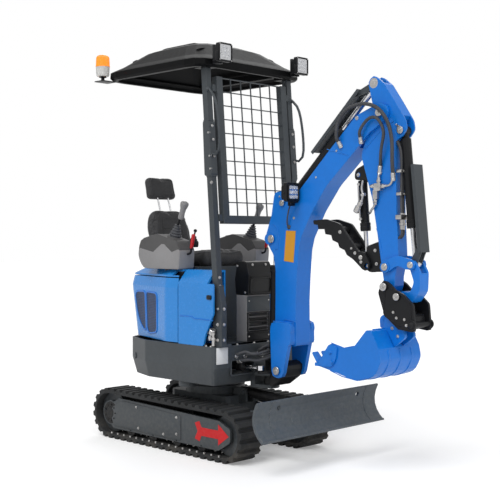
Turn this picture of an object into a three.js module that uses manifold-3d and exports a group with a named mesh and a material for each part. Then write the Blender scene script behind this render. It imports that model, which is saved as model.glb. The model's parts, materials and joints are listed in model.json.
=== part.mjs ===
// A tracked mini excavator with a canopy, a swing boom, a hydraulic thumb and a toothed bucket.
//
// Millimetres, +Z up. While it is modelled, +X points forward, +Y to the operator's left, and the
// origin is on the ground under the slew axis. The last lines move the whole machine so that its
// origin is the centre of its bounding box, at ground level.

import * as THREE from 'three';
import { mergeVertices } from 'three/addons/utils/BufferGeometryUtils.js';
import Module from 'manifold-3d';

const wasm = await Module();
wasm.setup();

// ---------------------------------------------------------------- driving dimensions

// Gaps: round a pin, beside an eye, between pieces that are bolted together, round a moving piece.
const PIN_GAP = 0.9;
const SIDE_GAP = 1.5;
const SEAT_GAP = 0.3;
const MOVING_GAP = 6;
const FITTING_LENGTH = 16;

// Undercarriage
const TRACK_CENTRE_X = -62;
const WHEEL_BASE = 1073;
const TRACK_OUTER_Y = 390;
const SHOE_WIDTH = 180;
const SPROCKET_RADIUS = 160;
const IDLER_RADIUS = 152.5;
const LUG_HEIGHT = 16;
const BELT_THICKNESS = 16;
const LUG_PITCH = 62;
const FRAME_TOP_Z = 330;
const RING_RADIUS = 185;

// Blade
const BLADE_WIDTH = 1040;
const BLADE_TOP = { x: 884, z: 404 };
const BLADE_LIP = { x: 930, z: 194 };
const BLADE_HOLLOW = 48;
const BLADE_SHEET = 18;
const BLADE_PIVOT = { x: 330, z: 225 };
const BLADE_ARM_Y = 140;
const BLADE_ARM_THICKNESS = 40;
const BLADE_RAM_BASE = { x: 285, z: 350 };
const BLADE_RAM_TIP = { x: 776, z: 318 };

// House
const HOUSE_BOTTOM_Z = 432;
const HOUSE_FRONT_X = 414;
const HOUSE_HALF_WIDTH = 400;
const TAIL_RADIUS = 545;
const CREASE_Z = 533;
const DECK_Z = 660;
const HOUSE_WALL = 12;
const COVER_TOP_Z = 1100;
const COVER_WALL = 12;
const COVER_SPLIT_X = 95;
const DOOR_TOP_Z = 1049;
const DOOR_HINGE = { x: -556, y: 227 };
const DOOR_HINGE_HEIGHTS = [760, 980];
const COVER_FRONT_X = 350;
const PANEL_FRONT_X = 404;

// Seat, consoles and front column
const SEAT_HALF_WIDTH = 190;
const SEAT_BACK_X = -54;
const CONSOLE_WIDTH = 118;
const CONSOLE_INSET = 16;
const CONSOLE_Y = HOUSE_HALF_WIDTH - CONSOLE_INSET - CONSOLE_WIDTH / 2;
const COLUMN_HALF_WIDTH = 100;

// Canopy
const POST_INSET = 55;
const POST_Y = HOUSE_HALF_WIDTH - POST_INSET;
const POST_WIDTH = 40;
const POST_LEAN = 4.5;
const POST_JOINT_SHARE = 0.582;
const GRAB_ROD_DROP = 112;
const POST_FOOT = { x: 388, z: 985 };
const ROOF_BOTTOM_Z = 2282;
const ROOF_RIM = 56;
const ROOF_RISE = 146;
const ROOF_CENTRE_X = -105;
const ROOF_HALF_LENGTH = 455;
const ROOF_HALF_WIDTH = 455;
const GUARD_BOTTOM_Z = 1372;
const GUARD_HEAD_GAP = 46;
const GUARD_TOP_Z = ROOF_BOTTOM_Z - GUARD_HEAD_GAP;
const GUARD_SIDE_GAP = 28;
const GUARD_HALF_WIDTH = POST_Y - POST_WIDTH / 2 - GUARD_SIDE_GAP;
const GUARD_PITCH = 83;
const GUARD_WIRE = 6;
const LAMP_SIZE = 108;

// Pins of the working gear, in the side view
const KING_X = 490;
const BOOM_FOOT = { x: 630, z: 520 };
const BOOM_RAM_BASE = { x: 505, z: 562 };
const BOOM_RAM_TIP = { x: 529, z: 1283 };
const ARM_RAM_BASE = { x: 633, z: 1491 };
const ARM_RAM_TIP = { x: 1281, z: 2119 };
const ARM_PIVOT = { x: 1335, z: 1955 };
const BUCKET_RAM_BASE = { x: 1459, z: 1854 };
const ROCKER_PIN = { x: 1369, z: 1135 };
const ROCKER_TIP = { x: 1531, z: 1149 };
const BUCKET_PIN = { x: 1379, z: 1031 };
const LINK_PIN = { x: 1464, z: 982 };
const THUMB_PIN = { x: 1245, z: 1138 };
const THUMB_RAM_BASE = { x: 1175, z: 1632 };
const THUMB_RAM_TIP = { x: 1208, z: 1184 };
const SWING_RAM_BASE = { x: 60, y: -190 };
const SWING_RAM_TIP = { x: 515, y: -122 };
const SWING_RAM_Z = 528;

// Half-widths and radii of the working gear
const BOOM_HALF_WIDTH = 60;
const BOOM_FORK_OUTER = 104;
const BOOM_FORK_PLATE = 28;
const ARM_HALF_WIDTH = 40;
const PIN_RADIUS = 18;
const COUPLER_HALF_WIDTH = 76;
const COUPLER_PLATE = 14;
const BUCKET_HALF_WIDTH = 178;
const BUCKET_SHEET = 10;
const TOOTH_INSET = 28;

// ---------------------------------------------------------------- finishes

const finish = (color, roughness, metalness) => new THREE.MeshStandardMaterial({ color, roughness,
  metalness });
const BLUE = finish(0x1268c8, 0.35, 0.1);
const DARK_GREY = finish(0x33383c, 0.55, 0.2);
const BLADE_GREY = finish(0x46505a, 0.5, 0.2);
const BLACK = finish(0x131517, 0.5, 0.2);
const MOULDED = finish(0x1b1d1f, 0.75, 0);
const RUBBER = finish(0x1d1f20, 0.9, 0);
const VINYL = finish(0x202224, 0.7, 0);
const CONSOLE_GREY = finish(0x85898c, 0.7, 0);
const CHROME = finish(0xd8dadc, 0.12, 1);
const RED = finish(0xa81c1c, 0.5, 0);
const AMBER = finish(0xf29a1c, 0.25, 0);
const STEEL = finish(0x8a8f94, 0.4, 0.9);

// ---------------------------------------------------------------- making solids

// The solid of a closed three.js geometry.
function solidOf(geometry) {
  geometry.deleteAttribute('normal');
  geometry.deleteAttribute('uv');
  const merged = mergeVertices(geometry, 1e-3);
  const vertProperties = new Float32Array(merged.attributes.position.array);
  const triVerts = new Uint32Array(merged.index.array);
  return new wasm.Manifold(new wasm.Mesh({ numProp: 3, vertProperties, triVerts }));
}

// The three.js geometry of a solid.
function geometryOf(solid) {
  const mesh = solid.asOriginal().simplify(0.002).getMesh();
  const geometry = new THREE.BufferGeometry();
  geometry.setAttribute('position', new THREE.BufferAttribute(mesh.vertProperties, 3));
  geometry.setIndex(new THREE.BufferAttribute(mesh.triVerts, 1));
  return geometry;
}

const join = (...solids) => solids.reduce((whole, piece) => whole.add(piece));
const cut = (solid, ...tools) => tools.reduce((rest, tool) => rest.subtract(tool), solid);
const mirrored = (solid) => solid.mirror([0, 1, 0]);
const bothSides = (solid) => join(solid, mirrored(solid));

// A closed outline through corners [x, y, radius]; a radius rounds its corner off.
function outline(corners) {
  const shape = new THREE.Shape();
  const count = corners.length;
  corners.forEach(([x, y, radius = 0], i) => {
    const corner = new THREE.Vector2(x, y);
    const before = new THREE.Vector2(...corners[(i + count - 1) % count].slice(0, 2)).sub(corner);
    const after = new THREE.Vector2(...corners[(i + 1) % count].slice(0, 2)).sub(corner);
    const half = Math.abs(before.angleTo(after)) / 2;
    const reach = Math.min(radius / Math.tan(half), 0.48 * before.length(), 0.48 * after.length());
    const start = corner.clone().addScaledVector(before.normalize(), reach);
    const end = corner.clone().addScaledVector(after.normalize(), reach);
    if (i === 0) shape.moveTo(start.x, start.y);
    else shape.lineTo(start.x, start.y);
    if (radius > 0) shape.quadraticCurveTo(x, y, end.x, end.y);
  });
  shape.closePath();
  return shape;
}

// A shape of the side view (x, z) drawn out between two values of y.
function sideSolid(shape, y0, y1, curveSegments = 2) {
  const geometry = new THREE.ExtrudeGeometry(shape, { depth: y1 - y0, bevelEnabled: false, curveSegments });
  geometry.rotateX(Math.PI / 2);
  geometry.translate(0, y1, 0);
  return solidOf(geometry);
}

// A shape of the plan view (x, y) drawn up between two heights.
function planSolid(shape, z0, z1, curveSegments = 2) {
  const geometry = new THREE.ExtrudeGeometry(shape, { depth: z1 - z0, bevelEnabled: false, curveSegments });
  geometry.translate(0, 0, z0);
  return solidOf(geometry);
}

// A shape of the front view (y, z) drawn out between two values of x.
function frontSolid(shape, x0, x1, curveSegments = 2) {
  const geometry = new THREE.ExtrudeGeometry(shape, { depth: x1 - x0, bevelEnabled: false, curveSegments });
  geometry.rotateX(Math.PI / 2);
  geometry.rotateZ(Math.PI / 2);
  geometry.translate(x0, 0, 0);
  return solidOf(geometry);
}

function block(x0, x1, y0, y1, z0, z1) {
  const geometry = new THREE.BoxGeometry(x1 - x0, y1 - y0, z1 - z0);
  geometry.translate((x0 + x1) / 2, (y0 + y1) / 2, (z0 + z1) / 2);
  return solidOf(geometry);
}

// A round bar between two points.
function bar(from, to, radius, sides = 12) {
  const a = new THREE.Vector3(...from);
  const b = new THREE.Vector3(...to);
  const geometry = new THREE.CylinderGeometry(radius, radius, a.distanceTo(b), sides);
  const turn = new THREE.Quaternion().setFromUnitVectors(new THREE.Vector3(0, 1, 0),
    b.clone().sub(a).normalize());
  geometry.applyQuaternion(turn);
  geometry.translate((a.x + b.x) / 2, (a.y + b.y) / 2, (a.z + b.z) / 2);
  return solidOf(geometry);
}

// A disc whose axis runs across the machine.
const disc = (at, radius, y0, y1, sides = 12) => bar([at.x, y0, at.z], [at.x, y1, at.z], radius, sides);

// A clearance hole for a pin across the machine.
const pinHole = (at, radius = PIN_RADIUS) => disc(at, radius + PIN_GAP, -700, 700);

// A solid through stacked rings of points, all with the same count.
function loft(rings) {
  const count = rings[0].length;
  const positions = rings.flat(2);
  const index = [];
  for (let r = 0; r + 1 < rings.length; r += 1) {
    for (let i = 0; i < count; i += 1) {
      const a = r * count + i;
      const b = r * count + (i + 1) % count;
      index.push(a, b, b + count, a, b + count, a + count);
    }
  }
  const flat = rings[0].map(([x, y]) => new THREE.Vector2(x, y));
  const last = (rings.length - 1) * count;
  for (const [a, b, c] of THREE.ShapeUtils.triangulateShape(flat, [])) {
    index.push(a, c, b);
    index.push(last + a, last + b, last + c);
  }
  const geometry = new THREE.BufferGeometry();
  geometry.setAttribute('position', new THREE.Float32BufferAttribute(positions, 3));
  geometry.setIndex(index);
  return solidOf(geometry);
}

// A bent round rod through a few points.
function bentRod(points, radius, steps, sides = 6) {
  const path = new THREE.CatmullRomCurve3(points.map((p) => new THREE.Vector3(...p)), false, 'centripetal');
  const section = new THREE.Shape();
  for (let i = 0; i < sides; i += 1) {
    const angle = (2 * Math.PI * i) / sides;
    const [x, y] = [radius * Math.cos(angle), radius * Math.sin(angle)];
    if (i === 0) section.moveTo(x, y);
    else section.lineTo(x, y);
  }
  section.closePath();
  return solidOf(new THREE.ExtrudeGeometry(section, { steps, extrudePath: path, bevelEnabled: false }));
}

// ---------------------------------------------------------------- the scene graph

const machine = new THREE.Group();
machine.name = 'machine';

// A group whose origin is a pivot, given in the machine's frame.
function pivotGroup(parent, name, x, y, z) {
  const group = new THREE.Group();
  group.name = name;
  group.userData.origin = new THREE.Vector3(x, y, z);
  group.position.copy(group.userData.origin).sub(parent.userData.origin);
  parent.add(group);
  return group;
}

// A mesh, from a solid in the machine's frame, placed in a group that isn't turned.
function place(group, name, solid, material) {
  const geometry = geometryOf(solid);
  const origin = group.userData.origin;
  geometry.translate(-origin.x, -origin.y, -origin.z);
  const mesh = new THREE.Mesh(geometry, material);
  mesh.name = name;
  group.add(mesh);
}

machine.userData.origin = new THREE.Vector3();

// ---------------------------------------------------------------- hydraulic cylinders

// A cylinder in its own frame: +X from the base pin to the tip pin, +Y or +Z along the pins.
const alongX = (x0, x1, radius, sides = 12) => bar([x0, 0, 0], [x1, 0, 0], radius, sides);
const eye = (x, radius, half, vertical) =>
  vertical ? bar([x, 0, -half], [x, 0, half], radius, 12) : bar([x, -half, 0], [x, half, 0], radius, 12);

function ramBarrel({ barrelLength, barrelRadius, rodRadius, eyeRadius, baseHalf, pinRadius, vertical,
  neckLength = 12 }) {
  const tubeStart = eyeRadius + neckLength;
  const neck = alongX(eyeRadius * 0.6, tubeStart + 6, baseHalf - 3);
  const tube = alongX(tubeStart, barrelLength, barrelRadius);
  const gland = alongX(barrelLength - 34, barrelLength + 6, barrelRadius + 4);
  const body = join(neck, tube, gland, eye(0, eyeRadius, baseHalf, vertical));
  const bore = alongX(tubeStart + 14, barrelLength + 20, rodRadius + PIN_GAP);
  return cut(body, eye(0, pinRadius + PIN_GAP, baseHalf + 20, vertical), bore);
}

function ramRod({ barrelLength, rodRadius, eyeRadius, tipHalf, length, reach, vertical }) {
  const inner = barrelLength - 40 - reach;
  return join(alongX(inner, length, rodRadius), eye(length, eyeRadius, tipHalf, vertical));
}

// The two groups of a cylinder: one hinged at its base pin, and the rod's inside it.
function placeRam(parent, name, base, tip, sizes, finishes = [BLACK, CHROME]) {
  const from = new THREE.Vector3(...base);
  const to = new THREE.Vector3(...tip);
  const length = from.distanceTo(to);
  const barrelGroup = pivotGroup(parent, `${name}_barrel_pivot`, ...base);
  const direction = to.clone().sub(from).normalize();
  if (sizes.vertical) barrelGroup.rotation.z = Math.atan2(direction.y, direction.x);
  else barrelGroup.rotation.y = -Math.atan2(direction.z, direction.x);
  const rodGroup = new THREE.Group();
  rodGroup.name = `${name}_rod_slide`;
  barrelGroup.add(rodGroup);
  const barrel = new THREE.Mesh(geometryOf(ramBarrel({ ...sizes, length })), finishes[0]);
  barrel.name = `${name}_barrel`;
  barrelGroup.add(barrel);
  const rod = new THREE.Mesh(geometryOf(ramRod({ ...sizes, length })), finishes[1]);
  rod.name = `${name}_rod`;
  rodGroup.add(rod);
  return { barrelGroup, rodGroup, length };
}

// A channel-shaped cover that rides on the rod's eye and shades the rod and barrel.
function ramGuard({ length, tipHalf, guardLift, guardLength, guardEnd, guardHalf }) {
  const sheet = 5;
  const [x0, x1] = [length - guardLength, length + guardEnd];
  const top = block(x0, x1, -guardHalf, guardHalf, guardLift, guardLift + sheet);
  const skirt = block(x0, x1, guardHalf - sheet, guardHalf, guardLift - 14, guardLift + 1);
  const lugY = tipHalf + SEAT_GAP;
  const lug = sideSolid(outline([
    [x1 - 60, guardLift + 1], [length - 30, -14, 10], [length + 14, -14, 14], [length + 14, 14, 14],
    [x1 - 10, guardLift + 1],
  ]), lugY, lugY + 6);
  return join(top, bothSides(skirt), bothSides(lug));
}

// A hose that bows over a joint, with a round fitting at each end, flat on the side that holds it.
function loopHose(points, radius) {
  const last = points.length - 1;
  const fittings = [points[0], points[last]].map(([x, y, z]) =>
    bar([x, y, z], [x, y - FITTING_LENGTH, z], radius + 3, 10));
  const route = points.map(([x, y, z], i) => [x, i === 0 || i === last ? y - FITTING_LENGTH + 3 : y, z]);
  return join(bentRod(route, radius, 24, 8), ...fittings);
}

// ---------------------------------------------------------------- undercarriage

const REAR_WHEEL = { x: TRACK_CENTRE_X - WHEEL_BASE / 2, z: SPROCKET_RADIUS };
const FRONT_WHEEL = { x: TRACK_CENTRE_X + WHEEL_BASE / 2, z: IDLER_RADIUS };
const TRACK_INNER_Y = TRACK_OUTER_Y - SHOE_WIDTH;
const TRACK_MID_Y = TRACK_OUTER_Y - SHOE_WIDTH / 2;
const BELT_DEPTH = LUG_HEIGHT + BELT_THICKNESS;

// A point and outward normal at a distance along the track's loop, at a depth inside its ground line.
function trackPoint(distance, depth) {
  const rise = Math.asin((SPROCKET_RADIUS - IDLER_RADIUS) / WHEEL_BASE);
  const run = Math.sqrt(WHEEL_BASE ** 2 - (SPROCKET_RADIUS - IDLER_RADIUS) ** 2);
  const frontArc = IDLER_RADIUS * (Math.PI - rise);
  const slack = 2 * rise;
  let s = distance;
  const at = (centre, radius, angle) => [
    centre.x + (radius - depth) * Math.sin(angle),
    centre.z - (radius - depth) * Math.cos(angle),
  ];
  if (s < WHEEL_BASE) {
    return [REAR_WHEEL.x + s, depth];
  }
  s -= WHEEL_BASE;
  if (s < frontArc) return at(FRONT_WHEEL, IDLER_RADIUS, s / IDLER_RADIUS);
  s -= frontArc;
  const angle = Math.PI - slack;
  if (s < run) {
    const [x0, z0] = at(FRONT_WHEEL, IDLER_RADIUS, angle);
    const [x1, z1] = at(REAR_WHEEL, SPROCKET_RADIUS, angle);
    return [x0 + (x1 - x0) * (s / run), z0 + (z1 - z0) * (s / run)];
  }
  s -= run;
  return at(REAR_WHEEL, SPROCKET_RADIUS, angle + s / SPROCKET_RADIUS);
}

// Half a turn of points round a wheel: the front one from below upwards, the rear one from above down.
function wheelArc(centre, radius, side) {
  const steps = 14;
  return Array.from({ length: steps + 1 }, (_, i) => {
    const angle = (Math.PI * i) / steps;
    return [centre.x + side * radius * Math.sin(angle), centre.z - side * radius * Math.cos(angle)];
  });
}

function trackLoopLength() {
  const rise = Math.asin((SPROCKET_RADIUS - IDLER_RADIUS) / WHEEL_BASE);
  const run = Math.sqrt(WHEEL_BASE ** 2 - (SPROCKET_RADIUS - IDLER_RADIUS) ** 2);
  return WHEEL_BASE + run + IDLER_RADIUS * (Math.PI - rise) + SPROCKET_RADIUS * (Math.PI + 2 * rise);
}

function track() {
  const total = trackLoopLength();
  const lugs = Math.round(total / LUG_PITCH);
  const outer = [];
  for (let i = 0; i < lugs; i += 1) {
    const start = (i * total) / lugs;
    const pitch = total / lugs;
    outer.push(trackPoint(start + 0.12 * pitch, 0));
    outer.push(trackPoint(start + 0.55 * pitch, 0));
    outer.push(trackPoint(start + 0.67 * pitch, LUG_HEIGHT));
    outer.push(trackPoint(start + 1.0 * pitch - 1, LUG_HEIGHT));
  }
  const inner = [...wheelArc(FRONT_WHEEL, IDLER_RADIUS - BELT_DEPTH, 1), ...wheelArc(REAR_WHEEL,
    SPROCKET_RADIUS - BELT_DEPTH, -1)];
  const shape = new THREE.Shape(outer.map(([x, z]) => new THREE.Vector2(x, z)));
  shape.holes.push(new THREE.Path(inner.map(([x, z]) => new THREE.Vector2(x, z)).reverse()));
  return sideSolid(shape, TRACK_INNER_Y, TRACK_OUTER_Y);
}

// The beam between the wheels, with its side plate, sprocket, idler and bottom rollers.
function trackBeam() {
  const sprocketRadius = SPROCKET_RADIUS - BELT_DEPTH - 1.2;
  const idlerRadius = IDLER_RADIUS - BELT_DEPTH - 1.2;
  const wheelHalf = 34;
  const sprocket = disc(REAR_WHEEL, sprocketRadius, TRACK_MID_Y - wheelHalf, TRACK_MID_Y + wheelHalf, 24);
  const idler = disc(FRONT_WHEEL, idlerRadius, TRACK_MID_Y - wheelHalf, TRACK_MID_Y + wheelHalf, 24);
  const motor = disc(REAR_WHEEL, 78, TRACK_INNER_Y - 10, TRACK_OUTER_Y - 22, 14);
  const idlerHub = disc(FRONT_WHEEL, 34, TRACK_INNER_Y + 14, TRACK_OUTER_Y - 22, 12);
  const beamProfile = outline([
    [REAR_WHEEL.x - 20, 120, 20], [FRONT_WHEEL.x + 10, 120, 20],
    [FRONT_WHEEL.x + 10, 190, 20], [REAR_WHEEL.x - 20, 205, 20],
  ]);
  const beam = sideSolid(beamProfile, TRACK_MID_Y - 52, TRACK_MID_Y + 52);
  const plateProfile = outline([
    [REAR_WHEEL.x + 28, 62, 24], [FRONT_WHEEL.x - 60, 62, 30], [FRONT_WHEEL.x + 38, 120, 24],
    [FRONT_WHEEL.x + 38, 196, 20], [FRONT_WHEEL.x - 60, 236, 20], [REAR_WHEEL.x + 90, 262, 26],
    [REAR_WHEEL.x - 30, 200, 30], [REAR_WHEEL.x - 30, 120, 30],
  ]);
  const plate = sideSolid(plateProfile, TRACK_OUTER_Y - 40, TRACK_OUTER_Y - 22);
  const rollerRadius = 38;
  const rollers = [-330, -110, 110, 330].map((dx) => {
    const at = { x: TRACK_CENTRE_X + dx, z: BELT_DEPTH + SEAT_GAP + rollerRadius };
    return disc(at, rollerRadius, TRACK_MID_Y - 46, TRACK_MID_Y + 54, 10);
  });
  return join(beam, sprocket, idler, motor, idlerHub, plate, ...rollers);
}

// The cross frame: a box between the track beams, legs to both, and the blade's lugs.
function centreFrame() {
  const reach = TRACK_MID_Y - 52 - SEAT_GAP;
  const deck = planSolid(outline([
    [-260, -150, 40], [250, -150, 40], [250, 150, 40], [-260, 150, 40],
  ]), 210, FRAME_TOP_Z);
  const leg = (x) => sideSolid(outline([[x - 60, 130, 12], [x + 60, 130, 12], [x + 60, 200, 12],
    [x - 60, 200, 12]]),
    -reach, reach);
  const spine = block(-240, 240, -120, 120, 150, 215);
  const lugProfile = outline([
    [150, 160], [BLADE_PIVOT.x + 34, BLADE_PIVOT.z - 34, 30], [BLADE_PIVOT.x + 34, BLADE_PIVOT.z + 34, 30],
    [150, 300],
  ]);
  const gap = BLADE_ARM_THICKNESS / 2 + SIDE_GAP;
  const lugs = [BLADE_ARM_Y - gap - 16, BLADE_ARM_Y + gap].map((y) => sideSolid(lugProfile, y, y + 16));
  const pin = disc(BLADE_PIVOT, PIN_RADIUS, BLADE_ARM_Y - gap - 22, BLADE_ARM_Y + gap + 22);
  const bridge = block(130, 240, BLADE_ARM_Y - gap - 16, BLADE_ARM_Y + gap + 16, 190, 290);
  const ramLug = sideSolid(outline([
    [200, FRAME_TOP_Z - 60], [BLADE_RAM_BASE.x + 26, FRAME_TOP_Z - 40, 10],
    [BLADE_RAM_BASE.x + 26, BLADE_RAM_BASE.z + 26, 22], [200, BLADE_RAM_BASE.z + 22, 10],
  ]), 25, 39);
  const ramPin = disc(BLADE_RAM_BASE, 14, -45, 45);
  return join(deck, leg(-170), leg(150), spine, bothSides(join(...lugs, pin, bridge)), bothSides(ramLug),
    ramPin);
}

function slewRing() {
  const lower = bar([0, 0, FRAME_TOP_Z + SEAT_GAP], [0, 0, 378], RING_RADIUS, 36);
  const upper = bar([0, 0, 377], [0, 0, HOUSE_BOTTOM_Z - SEAT_GAP], RING_RADIUS - 22, 36);
  return join(lower, upper);
}

// ---------------------------------------------------------------- blade

function blade() {
  const chord = new THREE.Vector2(BLADE_TOP.x - BLADE_LIP.x, BLADE_TOP.z - BLADE_LIP.z);
  const normal = new THREE.Vector2(-chord.y, chord.x).normalize();
  const steps = 6;
  const face = [];
  const back = [];
  for (let i = 0; i <= steps; i += 1) {
    const t = i / steps;
    const depth = BLADE_HOLLOW * 4 * t * (1 - t);
    const x = BLADE_LIP.x + chord.x * t + normal.x * depth;
    const z = BLADE_LIP.z + chord.y * t + normal.y * depth;
    face.push(new THREE.Vector2(x, z));
    back.unshift(new THREE.Vector2(x + normal.x * BLADE_SHEET, z + normal.y * BLADE_SHEET));
  }
  const half = BLADE_WIDTH / 2;
  const board = sideSolid(new THREE.Shape([...face, ...back]), -half, half);
  const backX = BLADE_TOP.x - 40;
  const rib = sideSolid(outline([
    [backX - 14, 225, 8], [backX + 45, 205, 8], [backX + 18, 290, 8], [backX + 10, 340, 8],
    [backX - 14, 330, 8],
  ]), -230, 230);
  const armProfile = outline([
    [BLADE_PIVOT.x - 36, BLADE_PIVOT.z - 36, 34], [BLADE_PIVOT.x + 60, BLADE_PIVOT.z - 36, 30],
    [backX - 2, 222, 6], [backX - 2, 300, 6], [BLADE_PIVOT.x + 60, BLADE_PIVOT.z + 40, 30],
    [BLADE_PIVOT.x - 36, BLADE_PIVOT.z + 36, 34],
  ]);
  const arm = sideSolid(armProfile, BLADE_ARM_Y - BLADE_ARM_THICKNESS / 2,
    BLADE_ARM_Y + BLADE_ARM_THICKNESS / 2);
  const lug = sideSolid(outline([
    [backX - 10, 262], [backX, 334, 8], [BLADE_RAM_TIP.x + 4, BLADE_RAM_TIP.z + 26, 20],
    [BLADE_RAM_TIP.x - 26, BLADE_RAM_TIP.z + 20, 20], [BLADE_RAM_TIP.x - 22, BLADE_RAM_TIP.z - 22, 20],
    [backX - 20, 262, 8],
  ]), 27, 41);
  const arms = bothSides(arm.subtract(pinHole(BLADE_PIVOT)));
  const caps = bothSides(disc(BLADE_RAM_TIP, 14, 38, 50));
  const hole = (y) => bar([780, y, BLADE_TOP.z - 42], [960, y, BLADE_TOP.z - 42], 14, 16);
  return cut(join(board, rib, arms, bothSides(lug), caps), hole(-340), hole(340));
}

// ---------------------------------------------------------------- house

// The plan outline of the house, drawn in by an inset, as points.
function housePlan(inset, z) {
  const w = HOUSE_HALF_WIDTH - inset;
  const f = HOUSE_FRONT_X - inset;
  const tail = TAIL_RADIUS - inset;
  const corners = [
    [f, -w, 22], [-208, -w, 60], [-tail * Math.cos(0.62), -tail * Math.sin(0.62), 60],
    [-tail, -120, 120], [-tail, 120, 120], [-tail * Math.cos(0.62), tail * Math.sin(0.62), 60],
    [-208, w, 60], [f, w, 22],
  ];
  return outline(corners).getPoints(2).slice(0, -1).map((p) => [p.x, p.y, z]);
}

const counterClockwise = (ring) => {
  const flat = ring.map(([x, y]) => new THREE.Vector2(x, y));
  return THREE.ShapeUtils.isClockWise(flat) ? [...ring].reverse() : ring;
};
const houseLoft = (levels) => loft(levels.map(([z, inset]) => counterClockwise(housePlan(inset, z))));

function houseBase() {
  const outer = houseLoft([[HOUSE_BOTTOM_Z, 30], [CREASE_Z, 0], [DECK_Z, 0]]);
  const inner = houseLoft([
    [HOUSE_BOTTOM_Z + HOUSE_WALL, 30 + HOUSE_WALL], [CREASE_Z, HOUSE_WALL], [DECK_Z + 1, HOUSE_WALL],
  ]);
  const counterweight = block(-TAIL_RADIUS - 10, -440, -500, 500, HOUSE_BOTTOM_Z, DECK_Z);
  const ramSlot = block(HOUSE_FRONT_X - 60, HOUSE_FRONT_X + 10, -262, -76, 488, 572);
  const shell = cut(outer, inner.subtract(counterweight), ramSlot);
  const lugShape = outline([
    [HOUSE_FRONT_X - 30, -74], [HOUSE_FRONT_X + 6, -74, 6], [KING_X + 30, -40, 30], [KING_X + 46, 0, 34],
    [KING_X + 30, 40, 30], [HOUSE_FRONT_X + 6, 74, 6], [HOUSE_FRONT_X - 30, 74],
  ]);
  const king = bar([KING_X, 0, 396], [KING_X, 0, 500], 22, 20);
  const nose = join(planSolid(lugShape, 398, 418), planSolid(lugShape, 470, 490), king,
    block(HOUSE_FRONT_X - 30, HOUSE_FRONT_X + 6, -74, 74, 398, 490));
  const { x: seatX, y: seatY } = SWING_RAM_BASE;
  const ramSeat = join(block(20, 100, seatY - 40, seatY + 40, HOUSE_BOTTOM_Z + 6, 500),
    bar([seatX, seatY, 490], [seatX, seatY, 556], 14, 16));
  const housing = bar([80, -300, 398], [80, -300, HOUSE_BOTTOM_Z + 4], 58, 20);
  return join(shell, nose, ramSeat, housing);
}

// The blue covers: the lid round the engine, and a panel each side of the operator's floor.
function coverPlan(z, inset, lean) {
  const w = HOUSE_HALF_WIDTH - 2 - inset;
  const back = TAIL_RADIUS - 46 - inset + lean;
  const corners = [
    [COVER_SPLIT_X, -w], [-20, -w, 90], [-back + 36, -262 + inset * 0.4, 70], [-back, -120, 60],
    [-back, 120, 60], [-back + 36, 262 - inset * 0.4, 70], [-20, w, 90], [COVER_SPLIT_X, w],
  ];
  return outline(corners).getPoints(2).slice(0, -1).map((p) => [p.x, p.y, z]);
}
const coverLoft = (levels) => loft(levels.map(([z, inset, lean]) => counterClockwise(coverPlan(z, inset,
  lean))));

// The rear shell over the engine, from which the door and the fixed part are taken.
function coverShell() {
  const z0 = DECK_Z + SEAT_GAP;
  const outer = coverLoft([[z0, 0, 0], [z0 + 330, 0, 58], [COVER_TOP_Z - 34, 12, 46], [COVER_TOP_Z, 56, 2]]);
  const t = COVER_WALL;
  const hollow = coverLoft([[z0 - 1, t, 0], [z0 + 330, t, 58], [COVER_TOP_Z - 40, t + 12, 46],
    [COVER_TOP_Z - t, t + 50, 2]]);
  const open = block(COVER_SPLIT_X - 60, COVER_SPLIT_X + 60, -386, 386, z0 - 1, COVER_TOP_Z - t);
  return cut(outer, hollow, open);
}

// The part of the shell that stays: the top under the seat and the left wall, with two hinge pins.
function rearCover() {
  const walls = block(-900, 400, DOOR_HINGE.y + MOVING_GAP / 2, 600, DECK_Z, COVER_TOP_Z);
  const top = block(-900, 400, -600, 600, DOOR_TOP_Z + MOVING_GAP, COVER_TOP_Z + 1);
  const pins = DOOR_HINGE_HEIGHTS.map((z) => join(
    bar([DOOR_HINGE.x, DOOR_HINGE.y, z], [DOOR_HINGE.x, DOOR_HINGE.y, z + 26], 6, 8),
    planSolid(hingeLeaf(1), z, z + 8),
  ));
  return join(coverShell().intersect(join(walls, top)), ...pins);
}

// The door: the rear and right walls, which swing out about the rear left corner.
function engineDoor() {
  const walls = block(-900, 400, -600, DOOR_HINGE.y - MOVING_GAP / 2, DECK_Z + MOVING_GAP, DOOR_TOP_Z);
  const leaves = DOOR_HINGE_HEIGHTS.map((z) => cut(planSolid(hingeLeaf(-1), z + 9, z + 19),
    bar([DOOR_HINGE.x, DOOR_HINGE.y, z], [DOOR_HINGE.x, DOOR_HINGE.y, z + 30], 6 + PIN_GAP, 8)));
  return join(coverShell().intersect(walls), ...leaves);
}

function hingeLeaf(side) {
  const { x, y } = DOOR_HINGE;
  return outline([[x - 13, y - side * 13, 8], [x + 13, y - side * 13, 8], [x + 13, y + side * 8],
    [x + 92, y + side * 8],
    [x + 92, y + side * 42], [x - 13, y + side * 42, 10]]);
}

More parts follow.
